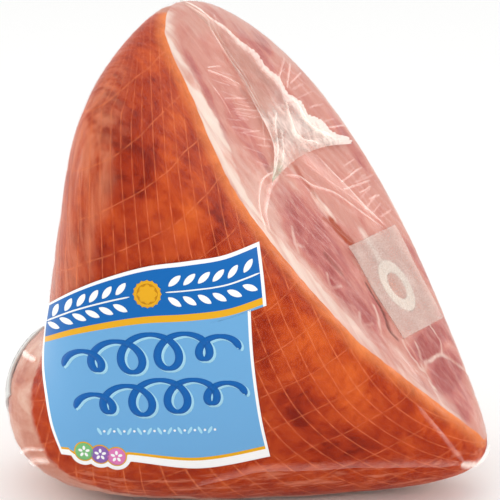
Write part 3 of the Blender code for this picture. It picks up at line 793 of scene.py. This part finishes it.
print("film")
shape, places, onCut = skinShell(filmShell["segments"], filmShell["faceRings"], filmShell["sideRings"])
away = outward(places)
across, up = faceCoordinates(places)
edge = smoothStep(0.0, 6.0, hamForm["cutDistance"] - (places - bodyCentre) @ cutNormal)
creased = np.stack((across + 0.5 * up, 0.22 * up - 0.1 * across, np.zeros(len(across))), 1)
ridged = np.clip(1.0 - 2.6 * np.abs(noiseAt(creased, 9.0, 41.0)), 0.0, 1.0) ** 3
lift = filmShell["lift"] + np.where(onCut, filmShell["faceWrinkle"] * ridged, edge * slowSwell(places))
places = places + away * lift[:, None]
places[:, 2] = np.maximum(places[:, 2], 0.0)
moveTo(shape.verts, places)
shrinkFilm = finishPiece("shrinkFilm", shape, "film_flap", shrinkFilmClear)
setAttribute(shrinkFilm.data, "milk", np.where(
    onCut, filmShell["faceMilk"] + filmShell["ridgeMilk"] * ridged, 0.0))


def crease(shape, milkValues, centre, normals, width, height, milk, rows, columns=6, narrowing=0.0):
    # A raised fold of film along a line of points: highest and cloudiest in the middle, thin at its ends.
    # narrowing is the share of its width that it loses on the way.
    verts, along, side = gridIn(shape, rows, columns)
    spot = np.rint(along * (len(centre) - 1)).astype(int)
    tangent = np.gradient(centre, axis=0)
    sideways = np.cross(normals, tangent)
    sideways /= np.linalg.norm(sideways, axis=1)[:, None]
    swing = 2.0 * side - 1.0
    taper = np.clip(np.minimum(along, 1.0 - along) * 7.0, 0.0, 1.0)
    profile = (1.0 - swing ** 2) * (0.35 + 0.65 * taper)
    halfWidth = width / 2.0 * (0.3 + 0.7 * taper) * (1.0 - narrowing * along)
    places = (centre[spot] + sideways[spot] * (swing * halfWidth)[:, None]
              + normals[spot] * (height * profile)[:, None])
    moveTo(verts, places)
    milkValues.extend(milk * (1.0 - np.abs(swing) ** 1.5) * np.clip(taper * 2.0, 0.0, 1.0))


# Straps, fold lines and fine tension creases of the film: points on the face, width, height, cloudiness and
# the share by which they narrow.
faceFolds = (
    (((-21.2, 140.9), (-6.8, 127.7), (-9.4, 121.3), (-10.7, 103.9), (-9.6, 92.8), (-11.6, 79.6), (-11.9, 71.9)),
     2.0, 0.9, 0.55, 0.0),
    (((-19.0, 139.0), (-3.8, 126.5), (-5.6, 119.5), (-7.0, 103.5), (-6.0, 92.0), (-8.4, 79.0), (-9.4, 70.5)),
     1.2, 0.9, 0.45, 0.0),
    (((-11.9, 71.9), (-22.6, 63.0), (-33.1, 54.4)), 1.4, 0.6, 0.35, 0.5),
    (((-36.5, 38.5), (-52.0, 36.0), (-63.4, 31.1), (-74.5, 25.3), (-80.5, 17.0)), 4.0, 0.8, 0.45, 0.3),
    (((-38.0, 41.0), (-54.0, 41.0), (-67.0, 36.0), (-78.0, 28.0), (-84.0, 18.0)), 1.8, 0.8, 0.55, 0.2),
    (((-31.5, 37.3), (-17.7, 32.6), (-10.8, 25.9), (-1.0, 21.0), (9.3, 15.2), (23.5, 0.2), (37.6, -14.4)),
     3.0, 0.6, 0.50, 0.3),
    (((0.5, 45.0), (12.0, 28.0), (22.0, 15.0), (31.0, 1.2), (40.2, -13.0)), 19.0, 0.4, 0.26, 0.92),
    (((15.5, 38.8), (20.2, 26.7), (26.2, 15.1), (32.2, 0.4), (40.7, -13.0)), 1.4, 0.6, 0.55, 0.0),
    (((-5.7, 41.5), (9.4, 24.4), (18.7, 15.0), (29.9, 2.1), (39.8, -13.1)), 1.2, 0.5, 0.35, 0.0),
    (((-38.1, 103.4), (-30.3, 102.5), (-22.9, 101.4)), 1.4, 0.5, 0.50, 0.4),
    (((-39.7, 102.3), (-27.5, 96.2), (-15.9, 88.4)), 2.2, 0.5, 0.50, 0.4),
    (((-44.7, 94.3), (-44.0, 84.6), (-46.0, 74.5)), 1.2, 0.5, 0.45, 0.4),
    (((53.4, 88.4), (41.5, 82.3), (31.0, 76.6)), 1.8, 0.5, 0.50, 0.0),
    (((50.6, 92.1), (38.8, 87.3), (29.1, 83.1)), 1.6, 0.5, 0.40, 0.0),
    (((4.8, 128.6), (2.5, 124.3), (0.6, 119.5)), 1.4, 0.5, 0.35, 0.0),
    (((38.0, 78.2), (47.9, 79.7), (59.0, 81.1)), 1.4, 0.5, 0.45, 0.0),
    (((46.3, 48.0), (57.2, 46.4), (68.8, 44.8)), 1.6, 0.5, 0.50, 0.0),
    (((21.8, 19.3), (36.3, 19.7), (52.7, 20.7)), 1.4, 0.5, 0.45, 0.0),
    (((19.2, 15.4), (37.5, 13.6), (56.4, 12.0)), 1.6, 0.5, 0.50, 0.0),
    (((34.9, 9.4), (42.7, 9.0), (52.8, 9.1)), 1.4, 0.5, 0.45, 0.0),
    (((40.7, 3.7), (47.7, 3.3), (56.6, 2.4)), 1.4, 0.5, 0.45, 0.0),
)
creaseFields = (  # middle across and up, spreads, way in degrees, length, how many, cloudiness
    (50.0, 62.0, 10.0, 24.0, 0.0, 24.0, 10, 0.26),
    (46.0, 14.0, 8.0, 20.0, 0.0, 22.0, 9, 0.26),
    (-32.0, 66.0, 12.0, 16.0, -20.0, 20.0, 18, 0.22),
    (-30.0, 96.0, 10.0, 14.0, -24.0, 18.0, 8, 0.20),
    (-40.0, 5.0, 22.0, 34.0, -72.0, 14.0, 12, 0.20),
    (-30.0, -84.0, 12.0, 22.0, -74.0, 16.0, 8, 0.20),
)
# Folds in the flap itself, at their height over the face.
flapFolds = (
    (((-0.8, 67.4), (-12.0, 62.1), (-25.6, 50.6), (-37.7, 43.9), (-50.0, 38.4)), 2.2, 2.4, 0.65, 0.0),
    (((-8.4, 59.3), (-15.4, 53.1), (-25.2, 45.7), (-35.9, 40.8)), 1.6, 2.4, 0.50, 0.0),
    (((18.4, 71.3), (9.4, 65.2), (6.1, 60.0), (2.2, 52.9), (6.2, 48.0), (15.9, 44.8), (22.8, 41.5)),
     1.8, 3.0, 0.60, 0.0),
    (((22.3, 72.4), (23.6, 64.1), (22.5, 54.2), (30.9, 47.3), (40.9, 42.9)), 2.0, 3.4, 0.70, 0.0),
)

shape = bmesh.new()
milkValues = []
for folds, lowest in ((faceFolds, 0.75), (flapFolds, 1.6)):
    for points, width, height, milk, narrowing in folds:
        route = through(points, np.linspace(0.0, 1.0, 61))
        centre = onFace(route[:, 0], route[:, 1], np.full(61, lowest))
        crease(shape, milkValues, centre, np.tile(cutNormal, (61, 1)), width, height, milk, 60,
               narrowing=narrowing)
draw = random.Random(7)
for middleAcross, middleUp, spreadAcross, spreadUp, way, length, count, milk in creaseFields:
    for _ in range(count):
        startAcross = draw.gauss(middleAcross, spreadAcross * 0.6)
        startUp = draw.gauss(middleUp, spreadUp * 0.6)
        turn = math.radians(way + draw.gauss(0.0, 4.0))
        run = length * draw.uniform(0.5, 1.4)
        bend = draw.gauss(0.0, 0.05) * run
        share = np.linspace(-0.5, 0.5, 21)
        routeAcross = startAcross + share * run * math.cos(turn) - bend * (share ** 2) * math.sin(turn)
        routeUp = startUp + share * run * math.sin(turn) + bend * (share ** 2) * math.cos(turn)
        centre = onFace(routeAcross, routeUp, np.full(21, 0.62))
        if fullness(centre - 2.5 * cutNormal).max() > 0.985:
            continue
        crease(shape, milkValues, centre, np.tile(cutNormal, (21, 1)), draw.uniform(0.8, 1.8), 0.22,
               milk * draw.uniform(0.6, 1.3), 20, 4)
filmCreases = finishPiece("filmCreases", shape, "film_flap", shrinkFilmClear)
setAttribute(filmCreases.data, "milk", milkValues)

# Folds over the rind: the bottom seam, the diagonal fold into the low tip, and on the bulge white strips that
# are painted highlights for the film's glints.
rindFoldsAndPaintedGlints = (  # points on the skin, width, height, cloudiness
    (((-28, -58, 18), (-16, -61, 23), (2, -62, 28.5), (14, -60, 29.5), (27, -58, 28.5), (42, -55, 28),
      (57, -53, 27.5), (77, -48, 26), (93, -44, 24.5), (106, -38, 22.5), (112, -33, 21)), 6.5, 1.6, 0.24),
    (((84, -51, 59), (91, -48, 50), (98, -44, 41), (105, -39, 31), (112, -33, 22)), 3.0, 1.2, 0.30),
    (((110, -34, 22), (116, -28, 19), (122, -20, 21), (125, -13, 24)), 7.0, 0.9, 0.95),
    # The last three are painted highlights: white cloudy strips standing for glints of the film on the bulge.
    (((-115, -8, 73), (-110, -23, 75), (-106, -35, 77)), 4.0, 0.6, 0.85),
    (((-116, -24, 23), (-110, -40, 32), (-100, -51, 36)), 3.0, 0.6, 0.60),
    (((-110, -31, 20), (-106, -42, 27), (-98, -50, 30)), 6.0, 0.6, 0.60),
)
shape = bmesh.new()
milkValues = []
for points, width, height, milk in rindFoldsAndPaintedGlints:
    route = through(points, np.linspace(0.0, 1.0, 81))
    inner = np.array((-10.0, 5.0, 70.0))
    ways = route - inner
    ways /= np.linalg.norm(ways, axis=1)[:, None]
    centre = inner + ways * reach(fullness, inner, ways)[:, None]
    normals = outward(centre)
    centre = centre + normals * (filmShell["lift"] + 0.35 + slowSwell(centre))[:, None]
    crease(shape, milkValues, centre, normals, width, height, milk, 80, 8)
filmFoldsAndPaintedGlints = finishPiece("filmFoldsAndPaintedGlints", shape, "film_flap", shrinkFilmClear)
setAttribute(filmFoldsAndPaintedGlints.data, "milk", milkValues)

filmFlapForm = {
    "fold": ((-22.8, 141.0), (-10.0, 120.0), (-13.0, 99.0), (-16.5, 77.0), (-24.0, 54.0), (-50.0, 37.0)),
    "welt": ((-20.8, 141.5), (-1.5, 123.0), (16.0, 98.0), (24.0, 73.0), (36.0, 53.0), (58.0, 34.0)),
    "gap": 1.0,        # least height over the face
    "lift": 0.9,
    "weltLift": 4.5,   # of the gathered right edge
    "columns": 90,
    "rows": 240,
}
shape = bmesh.new()
verts, acrossShare, upShare = gridIn(shape, filmFlapForm["columns"], filmFlapForm["rows"])
down = 1.0 - upShare
fold = through(filmFlapForm["fold"], down)
welt = through(filmFlapForm["welt"], down)
flat = fold + acrossShare[:, None] * (welt - fold)
flat[:, 1] += 6.0 * np.sin(math.pi * acrossShare) * smoothStep(0.75, 1.0, down)  # its foot is drawn up
flatNoise = np.stack((acrossShare * 3.0, down * 14.0, np.zeros(len(down))), 1)
coarse = noiseAt(flatNoise, 1.0, 51.0)
fine = noiseAt(flatNoise * (2.0, 3.4, 1.0), 1.0, 52.0)
crimp = noiseAt(flatNoise * (1.0, 7.0, 1.0), 1.0, 53.0)
gathers = np.sin(2.0 * math.pi * (7.0 * down + 0.6 * acrossShare))
edgeShare = acrossShare ** 3
sag = np.sin(math.pi * acrossShare) * np.sin(3.0 * math.pi * down + 2.0 * acrossShare)
slackHeight = filmFlapForm["lift"] * (1.0 + 0.6 * sag) * np.minimum(1.0, 6.0 * down + 0.4)
weltHeight = filmFlapForm["weltLift"] * (1.0 - 0.5 * down) + 1.2 * gathers + crimp
height = (filmFlapForm["gap"] + slackHeight + edgeShare * down ** 0.6 * weltHeight
          + 0.35 * coarse * acrossShare + 0.25 * fine * down)
flat = flat + (0.7 * crimp * acrossShare ** 8 * np.minimum(1.0, 5.0 * down))[:, None] * (0.8, 0.6)
moveTo(verts, onFace(flat[:, 0], flat[:, 1], np.maximum(height, 0.9)))
# Under the flap the film lies doubled and slack: the doubled film dims the meat a little, and the grey tint of
# its lower wall adds painted shade under the flap.
flapShadeUnderside = underside("flapUndersidePaintedShade", "F3F0ED")
filmFlap = finishPiece("filmFlap", shape, "film_flap", shrinkFilmClear, flapShadeUnderside)
lowPart = smoothStep(0.50, 0.74, down)
weltShare = smoothStep(0.74, 0.95, acrossShare + 0.06 * crimp)
middlePart = smoothStep(0.15, 0.75, acrossShare)
flapMilk = (0.05 + 0.10 * middlePart + 0.42 * lowPart + 0.60 * weltShare
            + (0.05 + 0.22 * lowPart) * coarse + 0.06 * fine)
flapMilk += 0.30 * smoothStep(0.05, 0.0, acrossShare) * smoothStep(0.2, 0.7, down)
flapMilk *= smoothStep(0.0, 0.04, down)
setAttribute(filmFlap.data, "milk", flapMilk)
setAttribute(filmFlap.data, "tint", smoothStep(0.86, 0.96, down) * smoothStep(0.22, 0.10, acrossShare))
wallInward(filmFlap, 0.15, 1)
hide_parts("film_flap")


guardPad = {
    "corners": ((-20.1, -65.3), (36.8, -70.6), (50.1, -15.3), (-15.6, -10.7)),
    "columns": 96,
    "thickness": 0.5,
    "threadScale": 9.0,  # about 2 mm from thread to thread, as finer ones don't show
    "milk": 0.38,
}

# Wax-soaked cotton pad: fine weave, milky and half see-through where it lies on the wet bone.
waxedCotton, tree = newMaterial("waxedCotton")
clothPlace = addNode(tree, "UVMap", uv_map="cloth")
warp, weft = (addNode(tree, "TexWave", {
    "Vector": clothPlace, "Scale": guardPad["threadScale"], "Distortion": 1.0, "Detail": 2.0},
    bands_direction=way).outputs["Fac"] for way in "XY")
weave = addNode(tree, "Math", {0: warp, 1: weft}, operation="MULTIPLY")
speckle = addNode(tree, "TexNoise", {"Vector": clothPlace, "Scale": 60.0, "Detail": 4.0, "Roughness": 0.7})
damp = addNode(tree, "TexNoise", {"Vector": clothPlace, "Scale": 3.2, "Detail": 4.0})
clothBump = addNode(tree, "Bump", {"Height": weave, "Strength": 0.4, "Distance": 0.0004})
clothColour = addNode(tree, "ValToRGB", {"Fac": speckle}, stops=(
    (0.35, linear("F0D4C6")), (0.62, linear("FFF4EA"))))
clothShare = addNode(tree, "Math", {0: speckle, 1: 0.40, 2: guardPad["milk"] - 0.50}, operation="MULTIPLY_ADD")
clothMore = addNode(tree, "Math", {0: damp, 1: 0.60, 2: clothShare}, operation="MULTIPLY_ADD", use_clamp=True)
seeThrough = addNode(tree, "BsdfTransparent", {"Color": linear("FFFFFF")})
clothShader = addNode(tree, "BsdfPrincipled", {
    "Base Color": clothColour, "Normal": clothBump, "Roughness": 0.6})
clothMix = addNode(tree, "MixShader", {0: clothMore, 1: seeThrough, 2: clothShader})
addNode(tree, "OutputMaterial", {"Surface": clothMix})

print("bone guard")
shape = bmesh.new()
verts, acrossShare, upShare = gridIn(shape, guardPad["columns"], guardPad["columns"])
flat = between(guardPad["corners"], acrossShare, upShare)
ripple = 0.5 * (1.0 + np.sin(9.0 * acrossShare + 2.0 * upShare) * np.cos(7.0 * upShare - 3.0 * acrossShare))
boneNear = np.hypot(*(flat - boneSize["place"]).T)
ripple = ripple + 0.35 * np.exp(-((boneNear - 15.0) / 2.2) ** 2)  # it stands up a little over the bone's ring
moveTo(verts, onFace(flat[:, 0], flat[:, 1], 1.0 + ripple))
setLayout(shape, "cloth", acrossShare, upShare)
cottonUnderside = underside("waxedCottonUnderside", "FFFFFF")
boneGuard = finishPiece("boneGuard", shape, "bone_guard", waxedCotton, cottonUnderside)
wallInward(boneGuard, guardPad["thickness"], 1)
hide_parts("bone_guard")


frontLabel = {
    "facing": (-90.0, 15.0),
    "middle": (-42.6, 0.0, 62.0),
    "top": ((-53.6, 34.8), (-37.0, 43.0), (-20.7, 49.2), (-3.0, 54.0), (15.0, 56.2), (32.0, 58.7),
            (48.2, 64.9)),
    "left": ((-49.2, -40.2), (-54.0, -26.0), (-56.5, -10.5), (-58.2, 5.0), (-57.2, 20.5), (-53.6, 34.8)),
    "panelRight": ((54.4, -40.5), (50.4, -22.0), (47.6, -3.5), (45.6, 15.0), (44.4, 33.5)),
    "bandRight": ((51.8, 34.8), (50.2, 49.4), (48.2, 64.9)),
    "bottom": ((-49.2, -40.2), (-14.9, -42.6), (19.7, -46.4), (54.4, -40.5)),
    "shoulder": 0.71,
    "badges": ((-37.3, -37.9), (-29.2, -39.1), (-21.2, -40.0)),
    "badgeRadius": 7.2,
    "columns": 180,
    "rows": 150,
    "gap": 0.75,
    "thickness": 0.25,
    "inkHeight": 0.06,
    "inkThickness": 0.04,
    "crowding": 1.6,  # brings the grid's columns closer together towards the bent left side
    "fieldStarts": (0.0, 0.052, 0.068, 0.728, 0.762, 0.972),
    "sideMargin": 0.023,
}


def labelRight(share):
    shoulder = frontLabel["shoulder"]
    panel = through(frontLabel["panelRight"], share / shoulder)
    band = through(frontLabel["bandRight"], (share - shoulder) / (1.0 - shoulder))
    return np.where((share < shoulder)[:, None], panel, band)


def badgeDip(line):
    # How far the lower edge bulges down round the three badges.
    lowest = line[:, 1].copy()
    for middleAcross, middleUp in frontLabel["badges"]:
        room = frontLabel["badgeRadius"] ** 2 - (line[:, 0] - middleAcross) ** 2
        lowest = np.where(room > 0.0, np.minimum(lowest, middleUp - np.sqrt(np.maximum(room, 0.0))), lowest)
    return line[:, 1] - lowest


def labelLayout(across, up):
    # The label laid out flat between its four edges; the bulges fade out a little way up.
    form = frontLabel
    corners = (form["left"][0], form["panelRight"][0], form["bandRight"][-1], form["left"][-1])
    corner = between(corners, across, up)
    bottom = through(form["bottom"], across)
    a, u = across[:, None], up[:, None]
    flat = ((1.0 - a) * through(form["left"], up) + a * labelRight(up)
            + (1.0 - u) * bottom + u * through(form["top"], across) - corner)
    flat[:, 1] -= badgeDip(bottom) * (1.0 - np.clip(up / 0.3, 0.0, 1.0)) ** 2
    return flat


def ontoLabel(flat, height):
    places = ontoSkin(flat, frontLabel["middle"], frontLabel["facing"])
    return places + outward(places) * height


# Coated paper label, offset printed: flat satin colour under a thin varnish.
def printedPaper(name, hexColour):
    material, tree = newMaterial(name)
    place = addNode(tree, "TexCoord").outputs["Object"]
    tooth = addNode(tree, "TexNoise", {"Vector": place, "Scale": 1400.0, "Detail": 3.0, "Roughness": 0.6})
    tone = addNode(tree, "Mix", {
        0: 0.12, 6: linear(hexColour), 7: tooth.outputs["Color"]}, data_type="RGBA", blend_type="SOFT_LIGHT")
    bump = addNode(tree, "Bump", {"Height": tooth, "Strength": 0.08, "Distance": 0.0002})
    shader = addNode(tree, "BsdfPrincipled", {
        "Base Color": tone, "Normal": bump, "Roughness": 0.38, "Specular IOR Level": 0.1})
    addNode(tree, "OutputMaterial", {"Surface": shader})
    return material


labelBlue, tree = newMaterial("printedPaperBlue")
layoutPlace = addNode(tree, "UVMap", uv_map="layout")
layoutParts = addNode(tree, "SeparateXYZ", {0: layoutPlace})
# The label's fields by their height on it: white lower edge, gold line, panel, gold line, band, white edge.
fieldColours = ("FAFAF8", "E9AC22", "6FABDA", "E9AC22", "1468B4", "FAFAF8")
fields = addNode(tree, "ValToRGB", {"Fac": layoutParts.outputs["Y"]}, stops=[
    (start, linear(colour)) for start, colour in zip(frontLabel["fieldStarts"], fieldColours)])
fields.color_ramp.interpolation = "CONSTANT"
sideways = addNode(tree, "Math", {0: layoutParts.outputs["X"], 1: 0.5}, operation="SUBTRACT")
fromMiddle = addNode(tree, "Math", {0: sideways}, operation="ABSOLUTE")
margin = addNode(tree, "Math", {0: fromMiddle, 1: 0.5 - frontLabel["sideMargin"]}, operation="GREATER_THAN")
margined = addNode(tree, "Mix", {0: margin, 6: fields, 7: linear(fieldColours[0])}, data_type="RGBA")
paperTooth = addNode(tree, "TexNoise", {"Vector": layoutPlace, "Scale": 160.0, "Detail": 3.0, "Roughness": 0.6})
paperBump = addNode(tree, "Bump", {"Height": paperTooth, "Strength": 0.06, "Distance": 0.0002})
paperShader = addNode(tree, "BsdfPrincipled", {
    "Base Color": margined, "Normal": paperBump, "Roughness": 0.38, "Specular IOR Level": 0.1})
addNode(tree, "OutputMaterial", {"Surface": paperShader})

print("label")
shape = bmesh.new()
verts, acrossShare, upShare = gridIn(shape, frontLabel["columns"], frontLabel["rows"])
crowded = acrossShare ** frontLabel["crowding"]
moveTo(verts, ontoLabel(labelLayout(crowded, upShare), frontLabel["gap"] + frontLabel["thickness"]))
setLayout(shape, "layout", crowded, upShare)
labelPaper = finishPiece("labelPaper", shape, "front_label", labelBlue)
wallInward(labelPaper, frontLabel["thickness"])
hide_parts("front_label")

inkColours = {"white": "FBFBF9", "navy": "1562AE", "sky": "A6DBF2", "gold": "E9AC22", "goldDeep": "C98A14",
              "green": "7CBD7A", "purple": "8D66AF", "pink": "E07EB7", "grey": "77777B"}
inks = list(inkColours)


def layInk(shape, ink, verts, places, firstFace, height, spotOn):
    # Lays a printed shape's grid onto the label or the sticker and inks its faces.
    moveTo(verts, spotOn(places, height))
    bmesh.ops.remove_doubles(shape, verts=verts, dist=1e-6)
    for face in shape.faces[firstFace:]:
        face.material_index = inks.index(ink)


def inkStroke(shape, ink, points, width, height, spotOn, rows=48):
    # A pen stroke: broad where it runs up or down, narrow where it runs across and at its ends.
    first = len(shape.faces)
    verts, along, side = gridIn(shape, rows, 2)
    step = 0.004
    ahead = through(points, np.clip(along + step, 0.0, 1.0)) - through(points, np.clip(along - step, 0.0, 1.0))
    ahead /= np.linalg.norm(ahead, axis=1)[:, None] + 1e-9
    sideways = np.stack((-ahead[:, 1], ahead[:, 0]), 1)
    ends = np.clip(np.minimum(along, 1.0 - along) * 14.0 + 0.25, 0.0, 1.0)
    pen = width * (0.55 + 0.45 * np.abs(ahead[:, 1])) * ends
    places = through(points, along) + sideways * ((2.0 * side - 1.0) * pen / 2.0)[:, None]
    layInk(shape, ink, verts, places, first, height, spotOn)


def inkDisc(shape, ink, middle, radii, height, spotOn, turn=0.0, petals=0, petalDepth=0.0, points=1.0):
    # A disc or oval, with a wavy edge if it has petals, or pointed as a leaf if points is over 1.
    first = len(shape.faces)
    verts, around, outer = gridIn(shape, 48, 5)
    angle = 2.0 * math.pi * around
    reachOut = outer * (1.0 + petalDepth * np.cos(petals * angle))
    wide = radii[0] * reachOut * np.cos(angle)
    tall = radii[1] * reachOut * np.sign(np.sin(angle)) * np.abs(np.sin(angle)) ** points
    cosine, sine = math.cos(math.radians(turn)), math.sin(math.radians(turn))
    places = np.stack((middle[0] + cosine * wide - sine * tall, middle[1] + sine * wide + cosine * tall), 1)
    layInk(shape, ink, verts, places, first, height, spotOn)


def bandLine(share, rise):
    # A place on the dark band: a share of the way across it, and of the way up it.
    bottom, top = frontLabel["fieldStarts"][-2:]
    flat = labelLayout(np.array([share]), np.array([bottom + (top - bottom) * rise]))
    return float(flat[0, 0]), float(flat[0, 1])


labelShape = bmesh.new()
low = frontLabel["gap"] + frontLabel["thickness"] + frontLabel["inkHeight"]
# The band: a plain rosette in the middle of a garland of leaves.
for sign in (-1.0, 1.0):
    for step in range(6):
        share = 0.5 + sign * (0.095 + 0.062 * step)
        stem = bandLine(share, 0.5)
        nextStem = bandLine(share + sign * 0.02, 0.5)
        lean = math.degrees(math.atan2(nextStem[1] - stem[1], nextStem[0] - stem[0]))
        for side in (-1.0, 1.0):
            leaf = bandLine(share + sign * 0.018, 0.5 + 0.21 * side)
            inkDisc(labelShape, "white", leaf, (3.7, 1.45), low, ontoLabel, lean + 38.0 * side, points=1.5)
    stemPoints = [bandLine(0.5 + sign * (0.075 + 0.40 * share), 0.5) for share in np.linspace(0.0, 1.0, 7)]
    inkStroke(labelShape, "white", stemPoints, 1.1, low, ontoLabel)
rosette = bandLine(0.5, 0.5)
inkDisc(labelShape, "gold", rosette, (6.4, 6.4), low, ontoLabel, petals=16, petalDepth=0.05)
inkDisc(labelShape, "goldDeep", rosette, (4.9, 4.9), low + 0.05, ontoLabel)
inkDisc(labelShape, "gold", rosette, (4.3, 4.3), low + 0.10, ontoLabel, petals=8, petalDepth=0.12)
# The panel: two running scrolls with a paler shadow, a row of dashes, and three small seals.
scrolls = (  # start, run, loops, radius, rise along the run
    ((-45.0, 8.0), 84.0, 5, 9.0, 10.0), ((-40.0, -13.0), 82.0, 5, 8.6, 8.0))
for start, run, loops, radius, rise in scrolls:
    share = np.linspace(0.0, 1.0, 16 * loops + 1)
    angle = 2.0 * math.pi * loops * share
    swell = radius * (0.62 + 0.38 * np.cos(math.pi * (share - 0.5) * 1.6))
    scrollPoints = np.stack((start[0] + run * share - swell * 1.05 * np.sin(angle),
                             start[1] + rise * share - swell * np.cos(angle)), 1)
    inkStroke(labelShape, "sky", scrollPoints + (1.0, -0.8), 4.2, low, ontoLabel, rows=360)
    inkStroke(labelShape, "navy", scrollPoints, 3.8, low + 0.05, ontoLabel, rows=360)
for step in range(12):
    dash = (-29.0 + 4.9 * step, -27.0 + 0.10 * step)
    inkDisc(labelShape, "sky", dash, (2.1, 0.75), low, ontoLabel, turn=62.0 if step % 2 else 118.0)
    inkDisc(labelShape, "white", (dash[0] + 2.4, dash[1] + 0.1), (0.6, 0.6), low, ontoLabel)
for ink, seal in zip(("green", "purple", "pink"), frontLabel["badges"]):
    inkDisc(labelShape, "gold", seal, (5.1, 5.1), low, ontoLabel)
    inkDisc(labelShape, ink, seal, (4.5, 4.5), low + 0.05, ontoLabel)
    for step in range(5):
        angle = 2.0 * math.pi * step / 5.0 + 0.3
        petal = (seal[0] + 1.9 * math.cos(angle), seal[1] + 1.9 * math.sin(angle))
        inkDisc(labelShape, "white", petal, (1.1, 0.7), low + 0.10, ontoLabel, turn=math.degrees(angle))
inkMaterials = [printedPaper("printedInk" + ink[0].upper() + ink[1:], colour)
                for ink, colour in inkColours.items()]
labelInk = finishPiece("labelInk", labelShape, "front_label", *inkMaterials)
wallInward(labelInk, frontLabel["inkThickness"])


rearSticker = {
    "facing": (175.0, 10.0),
    "middle": (0.0, 20.0, 48.0),
    "corners": ((-12.0, -10.0), (24.0, -38.0), (55.0, -13.0), (16.0, 13.0)),
    "grid": 70,
    "gap": 0.75,
    "thickness": 0.25,
    "edgeDepth": 1.2,  # how far its edge goes on down, to the film
    "dashRows": 9,
    "dashWidth": 0.9,
}


def ontoSticker(flat, height):
    places = ontoSkin(flat, rearSticker["middle"], rearSticker["facing"])
    return places + outward(places) * height


print("rear sticker")
shape = bmesh.new()
verts, acrossShare, upShare = gridIn(shape, rearSticker["grid"], rearSticker["grid"])
paperTop = rearSticker["gap"] + rearSticker["thickness"]
moveTo(verts, ontoSticker(between(rearSticker["corners"], acrossShare, upShare), paperTop))
# The sticker's white paper is given a light grey: painted shade, as it is seen almost edge-on.
stickerPaper = finishPiece("stickerPaper", shape, "rear_sticker", printedPaper("thermalStickerPaperPaintedShade", "D4D4D0"))
wallInward(stickerPaper, rearSticker["thickness"] + rearSticker["edgeDepth"])
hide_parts("rear_sticker")
# Rows of plain dashes in place of its small print.
stickerShape = bmesh.new()
draw = random.Random(11)
for row in range(rearSticker["dashRows"]):
    rise = 0.10 + 0.09 * row
    place = 0.03
    while place < 0.86:
        long = draw.uniform(0.03, 0.13)
        dash = between(rearSticker["corners"], place + long * np.linspace(0.0, 1.0, 3), np.full(3, rise))
        inkStroke(stickerShape, "grey", dash, rearSticker["dashWidth"], paperTop + frontLabel["inkHeight"],
                  ontoSticker, rows=8)
        place += long + draw.uniform(0.02, 0.05)
stickerInk = finishPiece("stickerInk", stickerShape, "rear_sticker", *inkMaterials)
wallInward(stickerInk, frontLabel["inkThickness"])

print("done")
